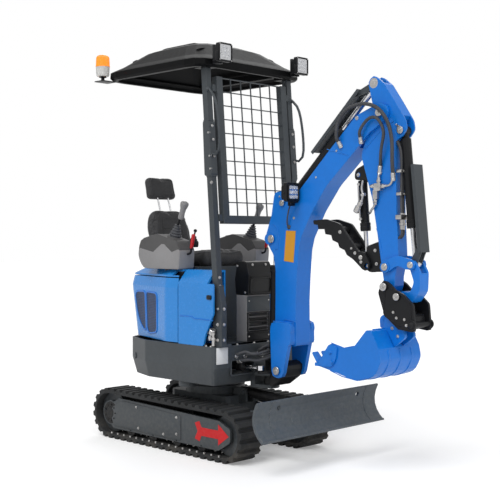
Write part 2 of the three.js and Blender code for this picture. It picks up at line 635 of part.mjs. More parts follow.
function sideCover() {
  const z0 = DECK_Z + SEAT_GAP;
  const y0 = HOUSE_HALF_WIDTH - 2;
  const profile = outline([
    [COVER_SPLIT_X + MOVING_GAP, z0], [PANEL_FRONT_X - 86, z0, 14], [PANEL_FRONT_X - 64, z0 + 70, 30],
    [PANEL_FRONT_X, z0 + 190, 30], [PANEL_FRONT_X, 1024, 10], [COVER_SPLIT_X + MOVING_GAP, 1024],
  ]);
  const wall = sideSolid(profile, y0 - COVER_WALL, y0);
  const shoulder = frontSolid(outline([
    [y0, 1014], [y0, 1024], [y0 - 66, COVER_TOP_Z], [y0 - 150, COVER_TOP_Z],
    [y0 - 150, COVER_TOP_Z - COVER_WALL],
    [y0 - 70, COVER_TOP_Z - COVER_WALL], [y0 - COVER_WALL, 1014],
  ]), COVER_SPLIT_X + MOVING_GAP, COVER_FRONT_X);
  const inner = block(COVER_SPLIT_X + MOVING_GAP, COVER_FRONT_X, y0 - 150, y0 - 150 + COVER_WALL, z0,
    COVER_TOP_Z);
  return join(wall, shoulder, inner);
}

function engineBlock() {
  return join(
    block(-400, -60, -190, 170, HOUSE_BOTTOM_Z + HOUSE_WALL + SEAT_GAP, 900),
    block(-60, 20, -120, 120, HOUSE_BOTTOM_Z + HOUSE_WALL + SEAT_GAP, 820),
  );
}

// The floor, with the riser that carries the seat over the engine.
function floorPlate() {
  const z0 = DECK_Z + SEAT_GAP;
  const half = HOUSE_HALF_WIDTH - 2 - 150 - SEAT_GAP;
  const floor = block(COVER_SPLIT_X + MOVING_GAP, COVER_FRONT_X - 4, -half, half, z0, z0 + 8);
  const front = block(COVER_SPLIT_X + MOVING_GAP, COVER_SPLIT_X + MOVING_GAP + 10, -half, half, z0,
    COVER_TOP_Z + 14);
  const shelf = block(-380, COVER_SPLIT_X + MOVING_GAP + 10, -half, half, COVER_TOP_Z + SEAT_GAP,
    COVER_TOP_Z + 14);
  return join(floor, front, shelf);
}

// ---------------------------------------------------------------- seat and controls

const SEAT_Z = COVER_TOP_Z + 14 + SEAT_GAP;

function seatCushion() {
  const profile = outline([
    [-300, SEAT_Z], [120, SEAT_Z, 20], [128, SEAT_Z + 60, 20], [100, SEAT_Z + 118, 40],
    [-60, SEAT_Z + 96, 60],
    [-310, SEAT_Z + 84, 30],
  ]);
  return sideSolid(profile, -SEAT_HALF_WIDTH, SEAT_HALF_WIDTH);
}

function seatBack() {
  const profile = outline([
    [SEAT_BACK_X - 392, SEAT_Z + 70, 30], [SEAT_BACK_X - 316, SEAT_Z + 90, 24],
    [SEAT_BACK_X - 390, SEAT_Z + 380, 40],
    [SEAT_BACK_X - 470, SEAT_Z + 372, 40],
  ]);
  const bracket = outline([
    [SEAT_BACK_X - 400, SEAT_Z, 10], [-300 - SEAT_GAP - 6, SEAT_Z], [-312 - SEAT_GAP - 6, SEAT_Z + 80],
    [SEAT_BACK_X - 330, SEAT_Z + 110], [SEAT_BACK_X - 400, SEAT_Z + 110],
  ]);
  return join(sideSolid(profile, -SEAT_HALF_WIDTH, SEAT_HALF_WIDTH), sideSolid(bracket, -90, 90));
}

function headrest() {
  const profile = outline([
    [SEAT_BACK_X - 498, SEAT_Z + 420, 26], [SEAT_BACK_X - 432, SEAT_Z + 424, 26],
    [SEAT_BACK_X - 470, SEAT_Z + 584, 34], [SEAT_BACK_X - 540, SEAT_Z + 574, 34],
  ]);
  const pad = sideSolid(profile, -128, 128);
  const stem = bar([SEAT_BACK_X - 434, 0, SEAT_Z + 376], [SEAT_BACK_X - 455, 0, SEAT_Z + 440], 8, 12);
  return join(pad, stem);
}

function consoleBox(side) {
  const z0 = COVER_TOP_Z + SEAT_GAP;
  const profile = outline([
    [-250, z0, 60], [86, z0, 20], [96, z0 + 120, 16], [60, z0 + 172, 30], [-120, z0 + 214, 50],
    [-276, z0 + 180, 60], [-292, z0 + 90, 40],
  ]);
  const half = CONSOLE_WIDTH / 2;
  return sideSolid(profile, side * CONSOLE_Y - half, side * CONSOLE_Y + half);
}

function joystick(side) {
  const y = side * CONSOLE_Y;
  const z0 = COVER_TOP_Z + SEAT_GAP + 191.5;
  const boot = bar([-10, y, z0], [14, y, z0 + 70], 30, 12);
  const stem = bar([10, y, z0 + 60], [46, y, z0 + 130], 12, 10);
  const grip = bar([42, y, z0 + 118], [84, y, z0 + 222], 24, 12);
  return join(boot, stem, grip);
}

function safetyLever(side) {
  const y = side * (CONSOLE_Y - 4);
  const z0 = COVER_TOP_Z + SEAT_GAP + 100;
  return join(
    bar([95.2 + SEAT_GAP, y, z0], [128, y, z0], 9, 10),
    bar([124, y, z0 - 8], [150, y, z0 + 110], 10, 10),
  );
}

// The black box and the grey column in front of the operator.
function frontConsole() {
  const w = COLUMN_HALF_WIDTH;
  return sideSolid(outline([
    [286, 946, 14], [392, 946, 14], [400, 1060, 20], [376, 1148, 26], [300, 1150, 26], [278, 1040, 20],
  ]), -w, w);
}

function frontColumn() {
  const w = COLUMN_HALF_WIDTH;
  const z0 = DECK_Z + 8 + 2 * SEAT_GAP;
  const column = block(292, 378, -w, w, z0, 946 - SEAT_GAP);
  const recess = block(340, 390, -w + 20, w - 20, 735, 835);
  const slats = [755, 785, 815].map((z) => block(338, 372, -w + 19, w - 19, z - 5, z + 5));
  return join(cut(column, recess), ...slats);
}

// ---------------------------------------------------------------- canopy

const leanShift = (z) => -(z - POST_FOOT.z) * Math.tan(THREE.MathUtils.degToRad(POST_LEAN));
const postX = (z) => POST_FOOT.x + leanShift(z);

function post() {
  const z1 = ROOF_BOTTOM_Z - SEAT_GAP;
  const halfDepth = 20;
  const y0 = POST_Y - POST_WIDTH / 2;
  const y1 = POST_Y + POST_WIDTH / 2;
  const upright = sideSolid(outline([
    [postX(POST_FOOT.z) - halfDepth, POST_FOOT.z], [postX(POST_FOOT.z) + halfDepth, POST_FOOT.z],
    [postX(z1) + halfDepth, z1], [postX(z1) - halfDepth, z1],
  ]), y0, y1);
  const foot = sideSolid(outline([
    [POST_FOOT.x - 26, POST_FOOT.z + 30], [POST_FOOT.x - 26, 900, 30], [COVER_FRONT_X + 16, 860, 20],
    [COVER_FRONT_X + 16, DECK_Z + SEAT_GAP], [HOUSE_FRONT_X + 26, DECK_Z + SEAT_GAP, 4],
    [HOUSE_FRONT_X + 26, 900, 30], [POST_FOOT.x + 26, POST_FOOT.z + 30],
  ]), y0, y1);
  const base = block(COVER_FRONT_X + 16, HOUSE_FRONT_X + 26, y0 - 40, y1, DECK_Z + SEAT_GAP, DECK_Z + 14);
  const jointZ = Math.round(POST_FOOT.z + (ROOF_BOTTOM_Z - POST_FOOT.z) * POST_JOINT_SHARE);
  const gusset = sideSolid(outline([
    [postX(jointZ) - 28, jointZ - 90, 12], [postX(jointZ) + 34, jointZ - 90, 12],
    [postX(jointZ + 230) + 26, jointZ + 230, 12], [postX(jointZ + 230) - 26, jointZ + 230, 12],
  ]), y0 - 4, y1 + 4);
  const rodY = POST_Y + 10;
  const rodZ = ROOF_BOTTOM_Z - GRAB_ROD_DROP;
  const grab = bentRod([
    [postX(rodZ) + 10, rodY, rodZ], [postX(rodZ - 50) + 70, rodY + 4, rodZ - 60],
    [postX(rodZ - 180) + 96, rodY + 6, rodZ - 180], [postX(rodZ - 340) + 92, rodY + 6, rodZ - 370],
    [postX(rodZ - 380) + 60, rodY + 4, rodZ - 400], [postX(rodZ - 390) + 16, rodY, rodZ - 390],
  ], 8, 12);
  return join(upright, foot, base, gusset, grab);
}

// The moulded roof: a shell, open below, with a rim and a shallow dome.
function roofRing(z, inset) {
  const l = ROOF_HALF_LENGTH - inset;
  const w = ROOF_HALF_WIDTH - inset;
  const r = 130;
  const corners = [
    [ROOF_CENTRE_X + l, -w, r], [ROOF_CENTRE_X + l, w, r], [ROOF_CENTRE_X - l, w, r],
    [ROOF_CENTRE_X - l, -w, r],
  ];
  return counterClockwise(outline(corners).getPoints(3).slice(0, -1).map((p) => [p.x, p.y, z]));
}

function canopyRoof() {
  const z = ROOF_BOTTOM_Z;
  const outer = loft([
    roofRing(z, 12), roofRing(z + 12, 0), roofRing(z + ROOF_RIM - 10, 2), roofRing(z + ROOF_RIM, 16),
    roofRing(z + ROOF_RIM + 26, 60), roofRing(z + ROOF_RIM + ROOF_RISE - 34, 170),
    roofRing(z + ROOF_RIM + ROOF_RISE - 8, 240), roofRing(z + ROOF_RIM + ROOF_RISE, 320),
  ]);
  const t = 8;
  const hollow = loft([
    roofRing(z - 1, 34), roofRing(z + 20, 34), roofRing(z + 44, 60), roofRing(z + 70, 90),
    roofRing(z + ROOF_RIM + ROOF_RISE - 44 - t, 190), roofRing(z + ROOF_RIM + ROOF_RISE - 8 - t, 270),
  ]);
  const socketTop = z + 30;
  const socket = bothSides(block(postX(z) - 60, postX(z) + 34, POST_Y - 50, POST_Y + 40, z, socketTop + 40));
  const beams = bothSides(block(ROOF_CENTRE_X - 380, postX(z), POST_Y - 30, POST_Y + 10, z + 24, z + 66));
  return join(cut(outer, hollow), socket.intersect(outer), beams.intersect(outer));
}

// The mesh in front of the operator: crossed wires in a frame that leans with the posts.
function frontGuard() {
  const height = GUARD_TOP_Z - GUARD_BOTTOM_Z;
  const frame = 46;
  const w = GUARD_HALF_WIDTH;
  const columns = Math.round((2 * (w - frame)) / GUARD_PITCH);
  const rows = Math.round((height - frame) / GUARD_PITCH);
  const wires = [];
  for (let c = 1; c < columns; c += 1) {
    const y = -w + frame + (c * 2 * (w - frame)) / columns;
    wires.push(block(8, 8 + GUARD_WIRE, y - GUARD_WIRE / 2, y + GUARD_WIRE / 2, 4, height));
  }
  for (let r = 1; r <= rows; r += 1) {
    const z = frame + (r * (height - frame)) / rows - GUARD_WIRE / 2;
    wires.push(block(8, 8 + GUARD_WIRE, -w + 4, w - 4, z - GUARD_WIRE / 2, z + GUARD_WIRE / 2));
  }
  const borders = join(
    block(-10, 30, -w, w, 0, frame),
    block(-10, 30, -w, -w + frame, 0, height), block(-10, 30, w - frame, w, 0, height),
  );
  const lugY = POST_Y - POST_WIDTH / 2 - SEAT_GAP;
  const lug = bothSides(block(-10, 22, w - 1, lugY, 14, 54));
  const lugTop = bothSides(block(-10, 22, w - 1, lugY, height - 90, height - 50));
  const guard = join(borders, ...wires, lug, lugTop);
  return guard.rotate([0, -POST_LEAN, 0]).translate([postX(GUARD_BOTTOM_Z) + 6, 0, GUARD_BOTTOM_Z]);
}

// A square lamp that faces forward, with its bracket to a seat beside or above it.
function lamp(x, y, z, bracket) {
  const h = LAMP_SIZE / 2;
  const housing = frontSolid(outline([[y - h, z - h, 14], [y + h, z - h, 14], [y + h, z + h, 14],
    [y - h, z + h, 14]]),
    x, x + 24);
  const back = frontSolid(outline([
    [y - h + 12, z - h + 12, 14], [y + h - 12, z - h + 12, 14], [y + h - 12, z + h - 12, 14],
    [y - h + 12, z + h - 12, 14],
  ]), x - 28, x + 2);
  return join(housing, back, bracket);
}

function beaconBase(x, y, z) {
  const under = ROOF_BOTTOM_Z - SEAT_GAP;
  return join(bar([x, y, z], [x, y, z + 62], 44, 16), bar([x, y, under - 6], [x, y, z + 2], 18, 10),
    block(x - 16, x + 84, y - 20, y + 96, under - 8, under));
}

const beaconDome = (x, y, z) => join(bar([x, y, z], [x, y, z + 62], 46, 16), bar([x, y, z + 60],
  [x, y, z + 76], 36, 16));

// ---------------------------------------------------------------- swing bracket

function swingBracket() {
  const king = bar([KING_X, 0, 420], [KING_X, 0, 468], 46, 24);
  const front = sideSolid(outline([
    [KING_X + 56, 420, 6], [566, 420, 20], [652, 478, 30], [BOOM_FOOT.x + 46, BOOM_FOOT.z + 30, 40],
    [BOOM_FOOT.x - 10, BOOM_FOOT.z + 52, 40], [KING_X + 56, 545, 20],
  ]), -BOOM_FORK_OUTER + BOOM_FORK_PLATE + SIDE_GAP, BOOM_FORK_OUTER - BOOM_FORK_PLATE - SIDE_GAP);
  const web = block(KING_X + 20, KING_X + 70, -44, 44, 422, 466);
  const cheek = sideSolid(outline([
    [BOOM_RAM_BASE.x - 32, 502, 10], [KING_X + 70, 502], [KING_X + 70, 540, 20],
    [BOOM_RAM_BASE.x + 14, BOOM_RAM_BASE.z + 34, 24], [BOOM_RAM_BASE.x - 32, BOOM_RAM_BASE.z + 10, 24],
  ]), 25, 39);
  const slot = block(BOOM_RAM_BASE.x - 60, KING_X + 92, -25, 25, 520, 640);
  const cap = block(BOOM_RAM_BASE.x - 26, KING_X + 70, -39, 39, 502, 518);
  const ramPin = disc(BOOM_RAM_BASE, 14, -46, 46);
  const ear = planSolid(outline([
    [KING_X + 80, -60], [SWING_RAM_TIP.x + 40, SWING_RAM_TIP.y + 20, 20],
    [SWING_RAM_TIP.x + 12, SWING_RAM_TIP.y - 26, 26], [SWING_RAM_TIP.x - 26, SWING_RAM_TIP.y - 6, 24],
    [SWING_RAM_TIP.x - 10, SWING_RAM_TIP.y + 40, 20], [KING_X + 62, -50],
  ]), SWING_RAM_Z - 34, SWING_RAM_Z - 20);
  const pin = disc(BOOM_FOOT, PIN_RADIUS, -BOOM_FORK_OUTER - 8, BOOM_FORK_OUTER + 8);
  const body = cut(join(front, king, web), slot, bar([KING_X, 0, 380], [KING_X, 0, 500], 22 + PIN_GAP, 24));
  return join(body, bothSides(cheek), cap, ramPin, pin, ear);
}

// ---------------------------------------------------------------- boom

function boom() {
  const profile = outline([
    [572, 664, 10], [740, 664, 20], [737, 926, 200], [745, 1073, 200], [757, 1219, 100], [776, 1289, 80],
    [860, 1438, 120], [972, 1584, 200], [1116, 1712, 200], [1262, 1850, 60], [1392, 1925, 60],
    [1388, 1990, 50],
    [1330, 2006, 40], [1178, 1952, 60], [988, 1776, 200], [765, 1562, 120], [700, 1524, 30], [640, 1560, 40],
    [569, 1557, 30], [545, 1423, 100], [492, 1283, 30], [561, 1190, 60], [577, 1102, 40], [577, 927, 100],
  ]);
  const beam = sideSolid(profile, -BOOM_HALF_WIDTH, BOOM_HALF_WIDTH);
  const leg = sideSolid(outline([
    [BOOM_FOOT.x - 42, BOOM_FOOT.z - 42, 40], [BOOM_FOOT.x + 42, BOOM_FOOT.z - 42, 40], [738, 760, 20],
    [732, 800, 30], [580, 800, 30], [575, 740, 20],
  ]), BOOM_FORK_OUTER - BOOM_FORK_PLATE, BOOM_FORK_OUTER);
  const bridge = sideSolid(outline([[575, 672, 20], [736, 672, 20], [732, 800, 30], [580, 800, 30]]),
    -BOOM_FORK_OUTER, BOOM_FORK_OUTER);
  const ramSlot = sideSolid(outline([
    [480, 1150], [570, 1200, 10], [BOOM_RAM_TIP.x + 48, BOOM_RAM_TIP.z, 30],
    [BOOM_RAM_TIP.x + 44, 1345, 20], [470, 1380],
  ]), -26, 26);
  const channel = sideSolid(outline([
    [560, 1440], [ARM_RAM_BASE.x + 10, 1440, 20], [760, 1505, 60], [1010, 1738, 60], [1120, 1850, 30],
    [1060, 1990], [560, 1640],
  ]), -40, 40);
  const armRoom = Math.hypot(ARM_RAM_TIP.x - ARM_PIVOT.x, ARM_RAM_TIP.z - ARM_PIVOT.z) + 62;
  const tipSlot = disc(ARM_PIVOT, armRoom, -ARM_HALF_WIDTH - SIDE_GAP, ARM_HALF_WIDTH + SIDE_GAP, 20);
  const pivotPin = disc(ARM_PIVOT, PIN_RADIUS, -BOOM_HALF_WIDTH - 7, BOOM_HALF_WIDTH + 7);
  const ramPin = disc(ARM_RAM_BASE, 15, -BOOM_HALF_WIDTH - 7, BOOM_HALF_WIDTH + 7);
  const boss = bothSides(disc(BOOM_RAM_TIP, 34, BOOM_HALF_WIDTH - 2, BOOM_HALF_WIDTH + 8));
  const body = cut(join(beam, bothSides(leg), bridge), ramSlot, channel, tipSlot, pinHole(BOOM_FOOT));
  return join(body, pivotPin, ramPin, boss);
}

// ---------------------------------------------------------------- arm

function arm() {
  const profile = outline([
    [ARM_RAM_TIP.x - 38, ARM_RAM_TIP.z + 8, 34], [ARM_RAM_TIP.x, ARM_RAM_TIP.z + 46, 40], [1350, 2110, 60],
    [1420, 2010, 80], [1490, 1905, 60], [1498, 1858, 30], [1470, 1822, 30], [1424, 1800, 30],
    [1434, 1410, 300], [1447, 1184, 60], [1424, 1085, 40], [1420, 1000, 40], [1340, 994, 40],
    [1350, 1066, 20],
    [1333, 1161, 60], [1309, 1305, 200], [1275, 1493, 200], [1196, 1738, 80], [1262, 1900, 60],
    [1278, 1990, 60],
  ]);
  const body = sideSolid(profile, -ARM_HALF_WIDTH, ARM_HALF_WIDTH);
  const topSlot = sideSolid(outline([
    [ARM_RAM_TIP.x - 80, ARM_RAM_TIP.z - 62], [ARM_RAM_TIP.x + 30, ARM_RAM_TIP.z - 62, 20],
    [ARM_RAM_TIP.x + 66, ARM_RAM_TIP.z, 30], [ARM_RAM_TIP.x + 66, ARM_RAM_TIP.z + 80],
    [ARM_RAM_TIP.x - 80, ARM_RAM_TIP.z + 80],
  ]), -27, 27);
  const ramSlot = sideSolid(outline([
    [BUCKET_RAM_BASE.x - 34, BUCKET_RAM_BASE.z + 22, 20], [BUCKET_RAM_BASE.x - 34, 1780], [1560, 1780],
    [1560, 1960],
    [BUCKET_RAM_BASE.x + 20, 1940],
  ]), -30, 30);
  const ramPin = disc(BUCKET_RAM_BASE, 14, -ARM_HALF_WIDTH - 6, ARM_HALF_WIDTH + 6);
  const rockerPin = disc(ROCKER_PIN, 16, -60, 60);
  const thumbLug = sideSolid(outline([
    [1312, 1262, 10], [THUMB_PIN.x - 4, 1240, 10], [THUMB_PIN.x - 32, THUMB_PIN.z + 10, 30],
    [THUMB_PIN.x, THUMB_PIN.z - 34, 30], [1334, 1118, 10], [1350, 1180],
  ]), 20, 36);
  const thumbPin = disc(THUMB_PIN, 15, -42, 42);
  const thumbRamLug = sideSolid(outline([
    [1252, 1604, 10], [THUMB_RAM_BASE.x - 26, THUMB_RAM_BASE.z - 22, 20],
    [THUMB_RAM_BASE.x - 22, THUMB_RAM_BASE.z + 24, 20], [1226, 1680, 10], [1260, 1640],
  ]), 20, 34);
  const thumbRamPin = disc(THUMB_RAM_BASE, 12, -38, 38);
  const solid = cut(body, topSlot, ramSlot, pinHole(ARM_PIVOT), pinHole(BUCKET_PIN));
  return join(solid, ramPin, rockerPin, bothSides(thumbLug), thumbPin, bothSides(thumbRamLug), thumbRamPin);
}

// Two arched plates from the arm to the head of the tipping link, with a spacer between them.
function rocker() {
  const inner = ARM_HALF_WIDTH + SIDE_GAP;
  const profile = outline([
    [ROCKER_PIN.x - 26, ROCKER_PIN.z - 26, 26], [ROCKER_PIN.x + 24, ROCKER_PIN.z - 24, 24],
    [ROCKER_PIN.x + 80, ROCKER_PIN.z + 12, 50], [ROCKER_TIP.x - 26, ROCKER_TIP.z - 24, 20],
    [ROCKER_TIP.x + 26, ROCKER_TIP.z - 24, 26], [ROCKER_TIP.x + 26, ROCKER_TIP.z + 24, 26],
    [ROCKER_PIN.x + 80, ROCKER_PIN.z + 62, 60], [ROCKER_PIN.x - 26, ROCKER_PIN.z + 30, 26],
  ]);
  return cut(sideSolid(profile, inner, inner + 13), disc(ROCKER_PIN, 16 + PIN_GAP, -90, 90));
}

// The C-shaped link from the rocker's head to the coupler.
function tippingLink() {
  const half = ARM_HALF_WIDTH - 1;
  const profile = outline([
    [ROCKER_TIP.x - 26, ROCKER_TIP.z + 18, 24], [ROCKER_TIP.x + 16, ROCKER_TIP.z + 26, 24], [1584, 1110, 40],
    [1580, 1010, 50], [1530, 950, 30], [LINK_PIN.x + 6, LINK_PIN.z - 30, 28],
    [LINK_PIN.x - 30, LINK_PIN.z - 6, 26],
    [LINK_PIN.x - 12, LINK_PIN.z + 28, 24], [1522, 1006, 20], [1544, 1060, 30],
    [ROCKER_TIP.x - 10, ROCKER_TIP.z - 28, 20],
  ]);
  const slot = sideSolid(outline([
    [ROCKER_TIP.x - 80, ROCKER_TIP.z - 94], [ROCKER_TIP.x + 24, ROCKER_TIP.z - 94, 30],
    [ROCKER_TIP.x + 80, ROCKER_TIP.z + 10], [ROCKER_TIP.x + 80, ROCKER_TIP.z + 60],
    [ROCKER_TIP.x - 80, ROCKER_TIP.z + 60],
  ]), -25, 25);
  return cut(sideSolid(profile, -half, half), slot, disc(LINK_PIN, 16 + PIN_GAP, -90, 90));
}

// ---------------------------------------------------------------- coupler and bucket

function quickCoupler() {
  const outer = COUPLER_HALF_WIDTH;
  const inner = outer - COUPLER_PLATE;
  const profile = outline([
    [1340, 1000, 30], [BUCKET_PIN.x - 6, BUCKET_PIN.z + 42, 38], [BUCKET_PIN.x + 40, BUCKET_PIN.z + 16, 30],
    [LINK_PIN.x - 10, LINK_PIN.z + 34, 30], [LINK_PIN.x + 40, LINK_PIN.z + 14, 28], [1566, 945, 30],
    [1580, 800, 20], [1471, 812, 10], [1382, 880, 20],
  ]);
  const plate = sideSolid(profile, inner, outer);
  const web = sideSolid(outline([
    [1384, 884, 10], [1471, 818, 10], [1545, 812, 10], [1536, 888, 10], [1440, 906, 20], [1392, 934, 10],
  ]), -inner - 1, inner + 1);
  const mainPin = disc(BUCKET_PIN, PIN_RADIUS, -outer - 8, outer + 8);
  const linkPin = disc(LINK_PIN, 16, -outer - 8, outer + 8);
  return join(bothSides(plate), web, mainPin, linkPin);
}

// The bucket: a bent shell, two sides, ears, a lip and teeth.
function bucket() {
  const half = BUCKET_HALF_WIDTH;
  const side = [
    [1018, 604, 4], [1096, 722, 30], [1190, 700, 30], [1262, 716, 40], [1342, 806, 14], [1372, 806, 14],
    [1424, 712, 30], [1438, 650, 60], [1400, 566, 110], [1283, 530, 130], [1130, 566, 80], [1010, 590, 4],
  ];
  const inside = [
    [1000, 611], [1096, 760], [1200, 760], [1262, 740], [1340, 792, 14], [1362, 790, 14],
    [1412, 704, 30], [1426, 650, 52], [1392, 576, 100], [1283, 542, 122], [1133, 577, 76],
  ];
  const sheet = BUCKET_SHEET;
  const outer = sideSolid(outline(side), -half, half, 3);
  const hollow = sideSolid(outline(inside), -half + sheet, half - sheet, 3);
  const mouth = sideSolid(outline([[960, 622], [1010, 604], [1342, 806, 4], [1342, 900], [960, 900]]),
    -half + sheet, half - sheet);
  const shell = cut(outer, hollow, mouth);
  const ear = sideSolid(outline([
    [1350, 796], [1376, 800], [1428, 716], [1500, 770, 20], [1484, 808, 10], [1462, 824.4], [1389.6, 879.2],
    [1374, 876, 6], [1352, 806],
  ]), 30, 48);
  const lip = block(985, 1030, -half, half, 588, 606);
  const toothProfile = outline([[966, 664, 4], [958, 654, 4], [1004, 588], [1030, 588], [1030, 606],
    [1012, 612]]);
  const outerTooth = half - TOOTH_INSET;
  const teeth = [-1, -0.5, 0, 0.5, 1].map((k) => k * outerTooth)
    .map((y) => sideSolid(toothProfile, y - 20, y + 20));
  return join(shell, bothSides(ear), lip, ...teeth);
}

// ---------------------------------------------------------------- thumb

// Two toothed plates on one root, with cross pieces.
function thumb() {
  const profile = outline([
    [THUMB_PIN.x + 30, THUMB_PIN.z - 8, 26], [THUMB_PIN.x + 12, THUMB_PIN.z + 34, 26],
    [THUMB_RAM_TIP.x + 22, 1212, 16],
    [THUMB_RAM_TIP.x - 16, 1216, 20], [1150, 1262, 30], [1060, 1368, 40], [960, 1394, 40], [866, 1388, 6],
    [872, 1366, 2], [900, 1362], [906, 1338, 2], [950, 1338], [958, 1310, 2], [1000, 1304], [1010, 1276, 2],
    [1048, 1262], [1060, 1236, 2], [1096, 1222], [1112, 1196, 2], [1150, 1176],
    [THUMB_PIN.x - 10, THUMB_PIN.z - 30, 26],
  ]);
  const plate = sideSolid(profile, 42, 58);
  const spacers = [[1030, 1330, 22], [930, 1372, 16], [1120, 1240, 22]].map(([x, z, r]) =>
    disc({ x, z }, r, -43, 43, 14));
  return cut(join(bothSides(plate), ...spacers), disc(THUMB_PIN, 15 + PIN_GAP, -90, 90));
}

// ---------------------------------------------------------------- assembly

const undercarriage = pivotGroup(machine, 'undercarriage', 0, 0, 0);
place(undercarriage, 'centre_frame', centreFrame(), DARK_GREY);
place(undercarriage, 'slew_ring', slewRing(), BLACK);
place(undercarriage, 'track_left', track(), RUBBER);
place(undercarriage, 'track_right', mirrored(track()), RUBBER);
place(undercarriage, 'track_beam_left', trackBeam(), DARK_GREY);
place(undercarriage, 'track_beam_right', mirrored(trackBeam()), DARK_GREY);

const bladeGroup = pivotGroup(undercarriage, 'blade_pivot', BLADE_PIVOT.x, 0, BLADE_PIVOT.z);
place(bladeGroup, 'dozer_blade', blade(), BLADE_GREY);
placeRam(undercarriage, 'blade_cylinder', [BLADE_RAM_BASE.x, 0, BLADE_RAM_BASE.z],
  [BLADE_RAM_TIP.x, 0, BLADE_RAM_TIP.z],
  { barrelLength: 370, barrelRadius: 32, neckLength: 22, rodRadius: 16, eyeRadius: 24, baseHalf: 22,
    tipHalf: 20, pinRadius: 14, reach: 60 });

const house = pivotGroup(machine, 'house_slew', 0, 0, HOUSE_BOTTOM_Z);
place(house, 'house_base', houseBase(), DARK_GREY);
place(house, 'engine_block', engineBlock(), STEEL);
place(house, 'side_cover_left', sideCover(), BLUE);
place(house, 'side_cover_right', mirrored(sideCover()), BLUE);
place(house, 'floor_plate', floorPlate(), MOULDED);
place(house, 'seat_cushion', seatCushion(), VINYL);
place(house, 'seat_back', seatBack(), VINYL);
place(house, 'headrest', headrest(), VINYL);
for (const [label, side] of [['left', 1], ['right', -1]]) {
  place(house, `console_${label}`, consoleBox(side), CONSOLE_GREY);
  place(house, `joystick_${label}`, joystick(side), MOULDED);
  place(house, `safety_lever_${label}`, safetyLever(side), RED);
  place(house, `canopy_post_${label}`, side > 0 ? post() : mirrored(post()), DARK_GREY);
}
place(house, 'front_console', frontConsole(), MOULDED);
place(house, 'front_column', frontColumn(), CONSOLE_GREY);
place(house, 'canopy_roof', canopyRoof(), MOULDED);
place(house, 'front_guard', frontGuard(), DARK_GREY);

const LAMP_X = ROOF_CENTRE_X + ROOF_HALF_LENGTH + 62;
for (const [label, side] of [['left', 1], ['right', -1]]) {
  const y = side * 330;
  const z = ROOF_BOTTOM_Z + 74;
  const bracket = block(LAMP_X - 62 + SEAT_GAP, LAMP_X - 20, y - 20, y + 20, z - 60, z - 34);
  place(house, `work_lamp_${label}`, lamp(LAMP_X, y, z, bracket), BLACK);
}
const BEACON = { x: ROOF_CENTRE_X - ROOF_HALF_LENGTH + 22, y: -ROOF_HALF_WIDTH - 17, z: ROOF_BOTTOM_Z + 26 };
place(house, 'beacon_base', beaconBase(BEACON.x, BEACON.y, BEACON.z), BLACK);
place(house, 'beacon_dome', beaconDome(BEACON.x, BEACON.y, BEACON.z + 62 + SEAT_GAP), AMBER);

place(house, 'rear_cover', rearCover(), BLUE);
const door = pivotGroup(house, 'engine_door_hinge', DOOR_HINGE.x, DOOR_HINGE.y, DECK_Z);
place(door, 'engine_door', engineDoor(), BLUE);

const swing = pivotGroup(house, 'swing_pivot', KING_X, 0, 445);
place(swing, 'swing_bracket', swingBracket(), BLACK);
placeRam(house, 'swing_cylinder', [SWING_RAM_BASE.x, SWING_RAM_BASE.y, SWING_RAM_Z],
  [SWING_RAM_TIP.x, SWING_RAM_TIP.y, SWING_RAM_Z],
  { barrelLength: 330, barrelRadius: 24, rodRadius: 12, eyeRadius: 24, baseHalf: 18, tipHalf: 13,
    pinRadius: 14, reach: 110,
    vertical: true });

const boomGroup = pivotGroup(swing, 'boom_pivot', BOOM_FOOT.x, 0, BOOM_FOOT.z);
place(boomGroup, 'boom', boom(), BLUE);
const BOOM_LAMP = { x: 746, y: -BOOM_HALF_WIDTH - 60, z: 1548 };
place(boomGroup, 'boom_lamp', lamp(BOOM_LAMP.x, BOOM_LAMP.y, BOOM_LAMP.z,
  block(BOOM_LAMP.x - 26, BOOM_LAMP.x - 16, BOOM_LAMP.y + 10, -BOOM_HALF_WIDTH - SEAT_GAP,
    BOOM_LAMP.z - 76, BOOM_LAMP.z - 10)), BLACK);
placeRam(swing, 'boom_cylinder', [BOOM_RAM_BASE.x, 0, BOOM_RAM_BASE.z], [BOOM_RAM_TIP.x, 0, BOOM_RAM_TIP.z],
  { barrelLength: 560, barrelRadius: 29, rodRadius: 16, eyeRadius: 26, baseHalf: 22, tipHalf: 20,
    pinRadius: 14, reach: 145 });
const armRam = { barrelLength: 560, barrelRadius: 30, rodRadius: 16, eyeRadius: 26, baseHalf: 32, tipHalf: 16,
  pinRadius: 15, reach: 20, guardLength: 560, guardEnd: -96, guardHalf: 40, guardLift: 62 };
const armRamParts = placeRam(boomGroup, 'arm_cylinder', [ARM_RAM_BASE.x, 0, ARM_RAM_BASE.z],
  [ARM_RAM_TIP.x, 0, ARM_RAM_TIP.z], armRam);
const armGuard = new THREE.Mesh(geometryOf(ramGuard({ ...armRam, length: armRamParts.length })), DARK_GREY);
armGuard.name = 'arm_cylinder_guard';
armRamParts.rodGroup.add(armGuard);

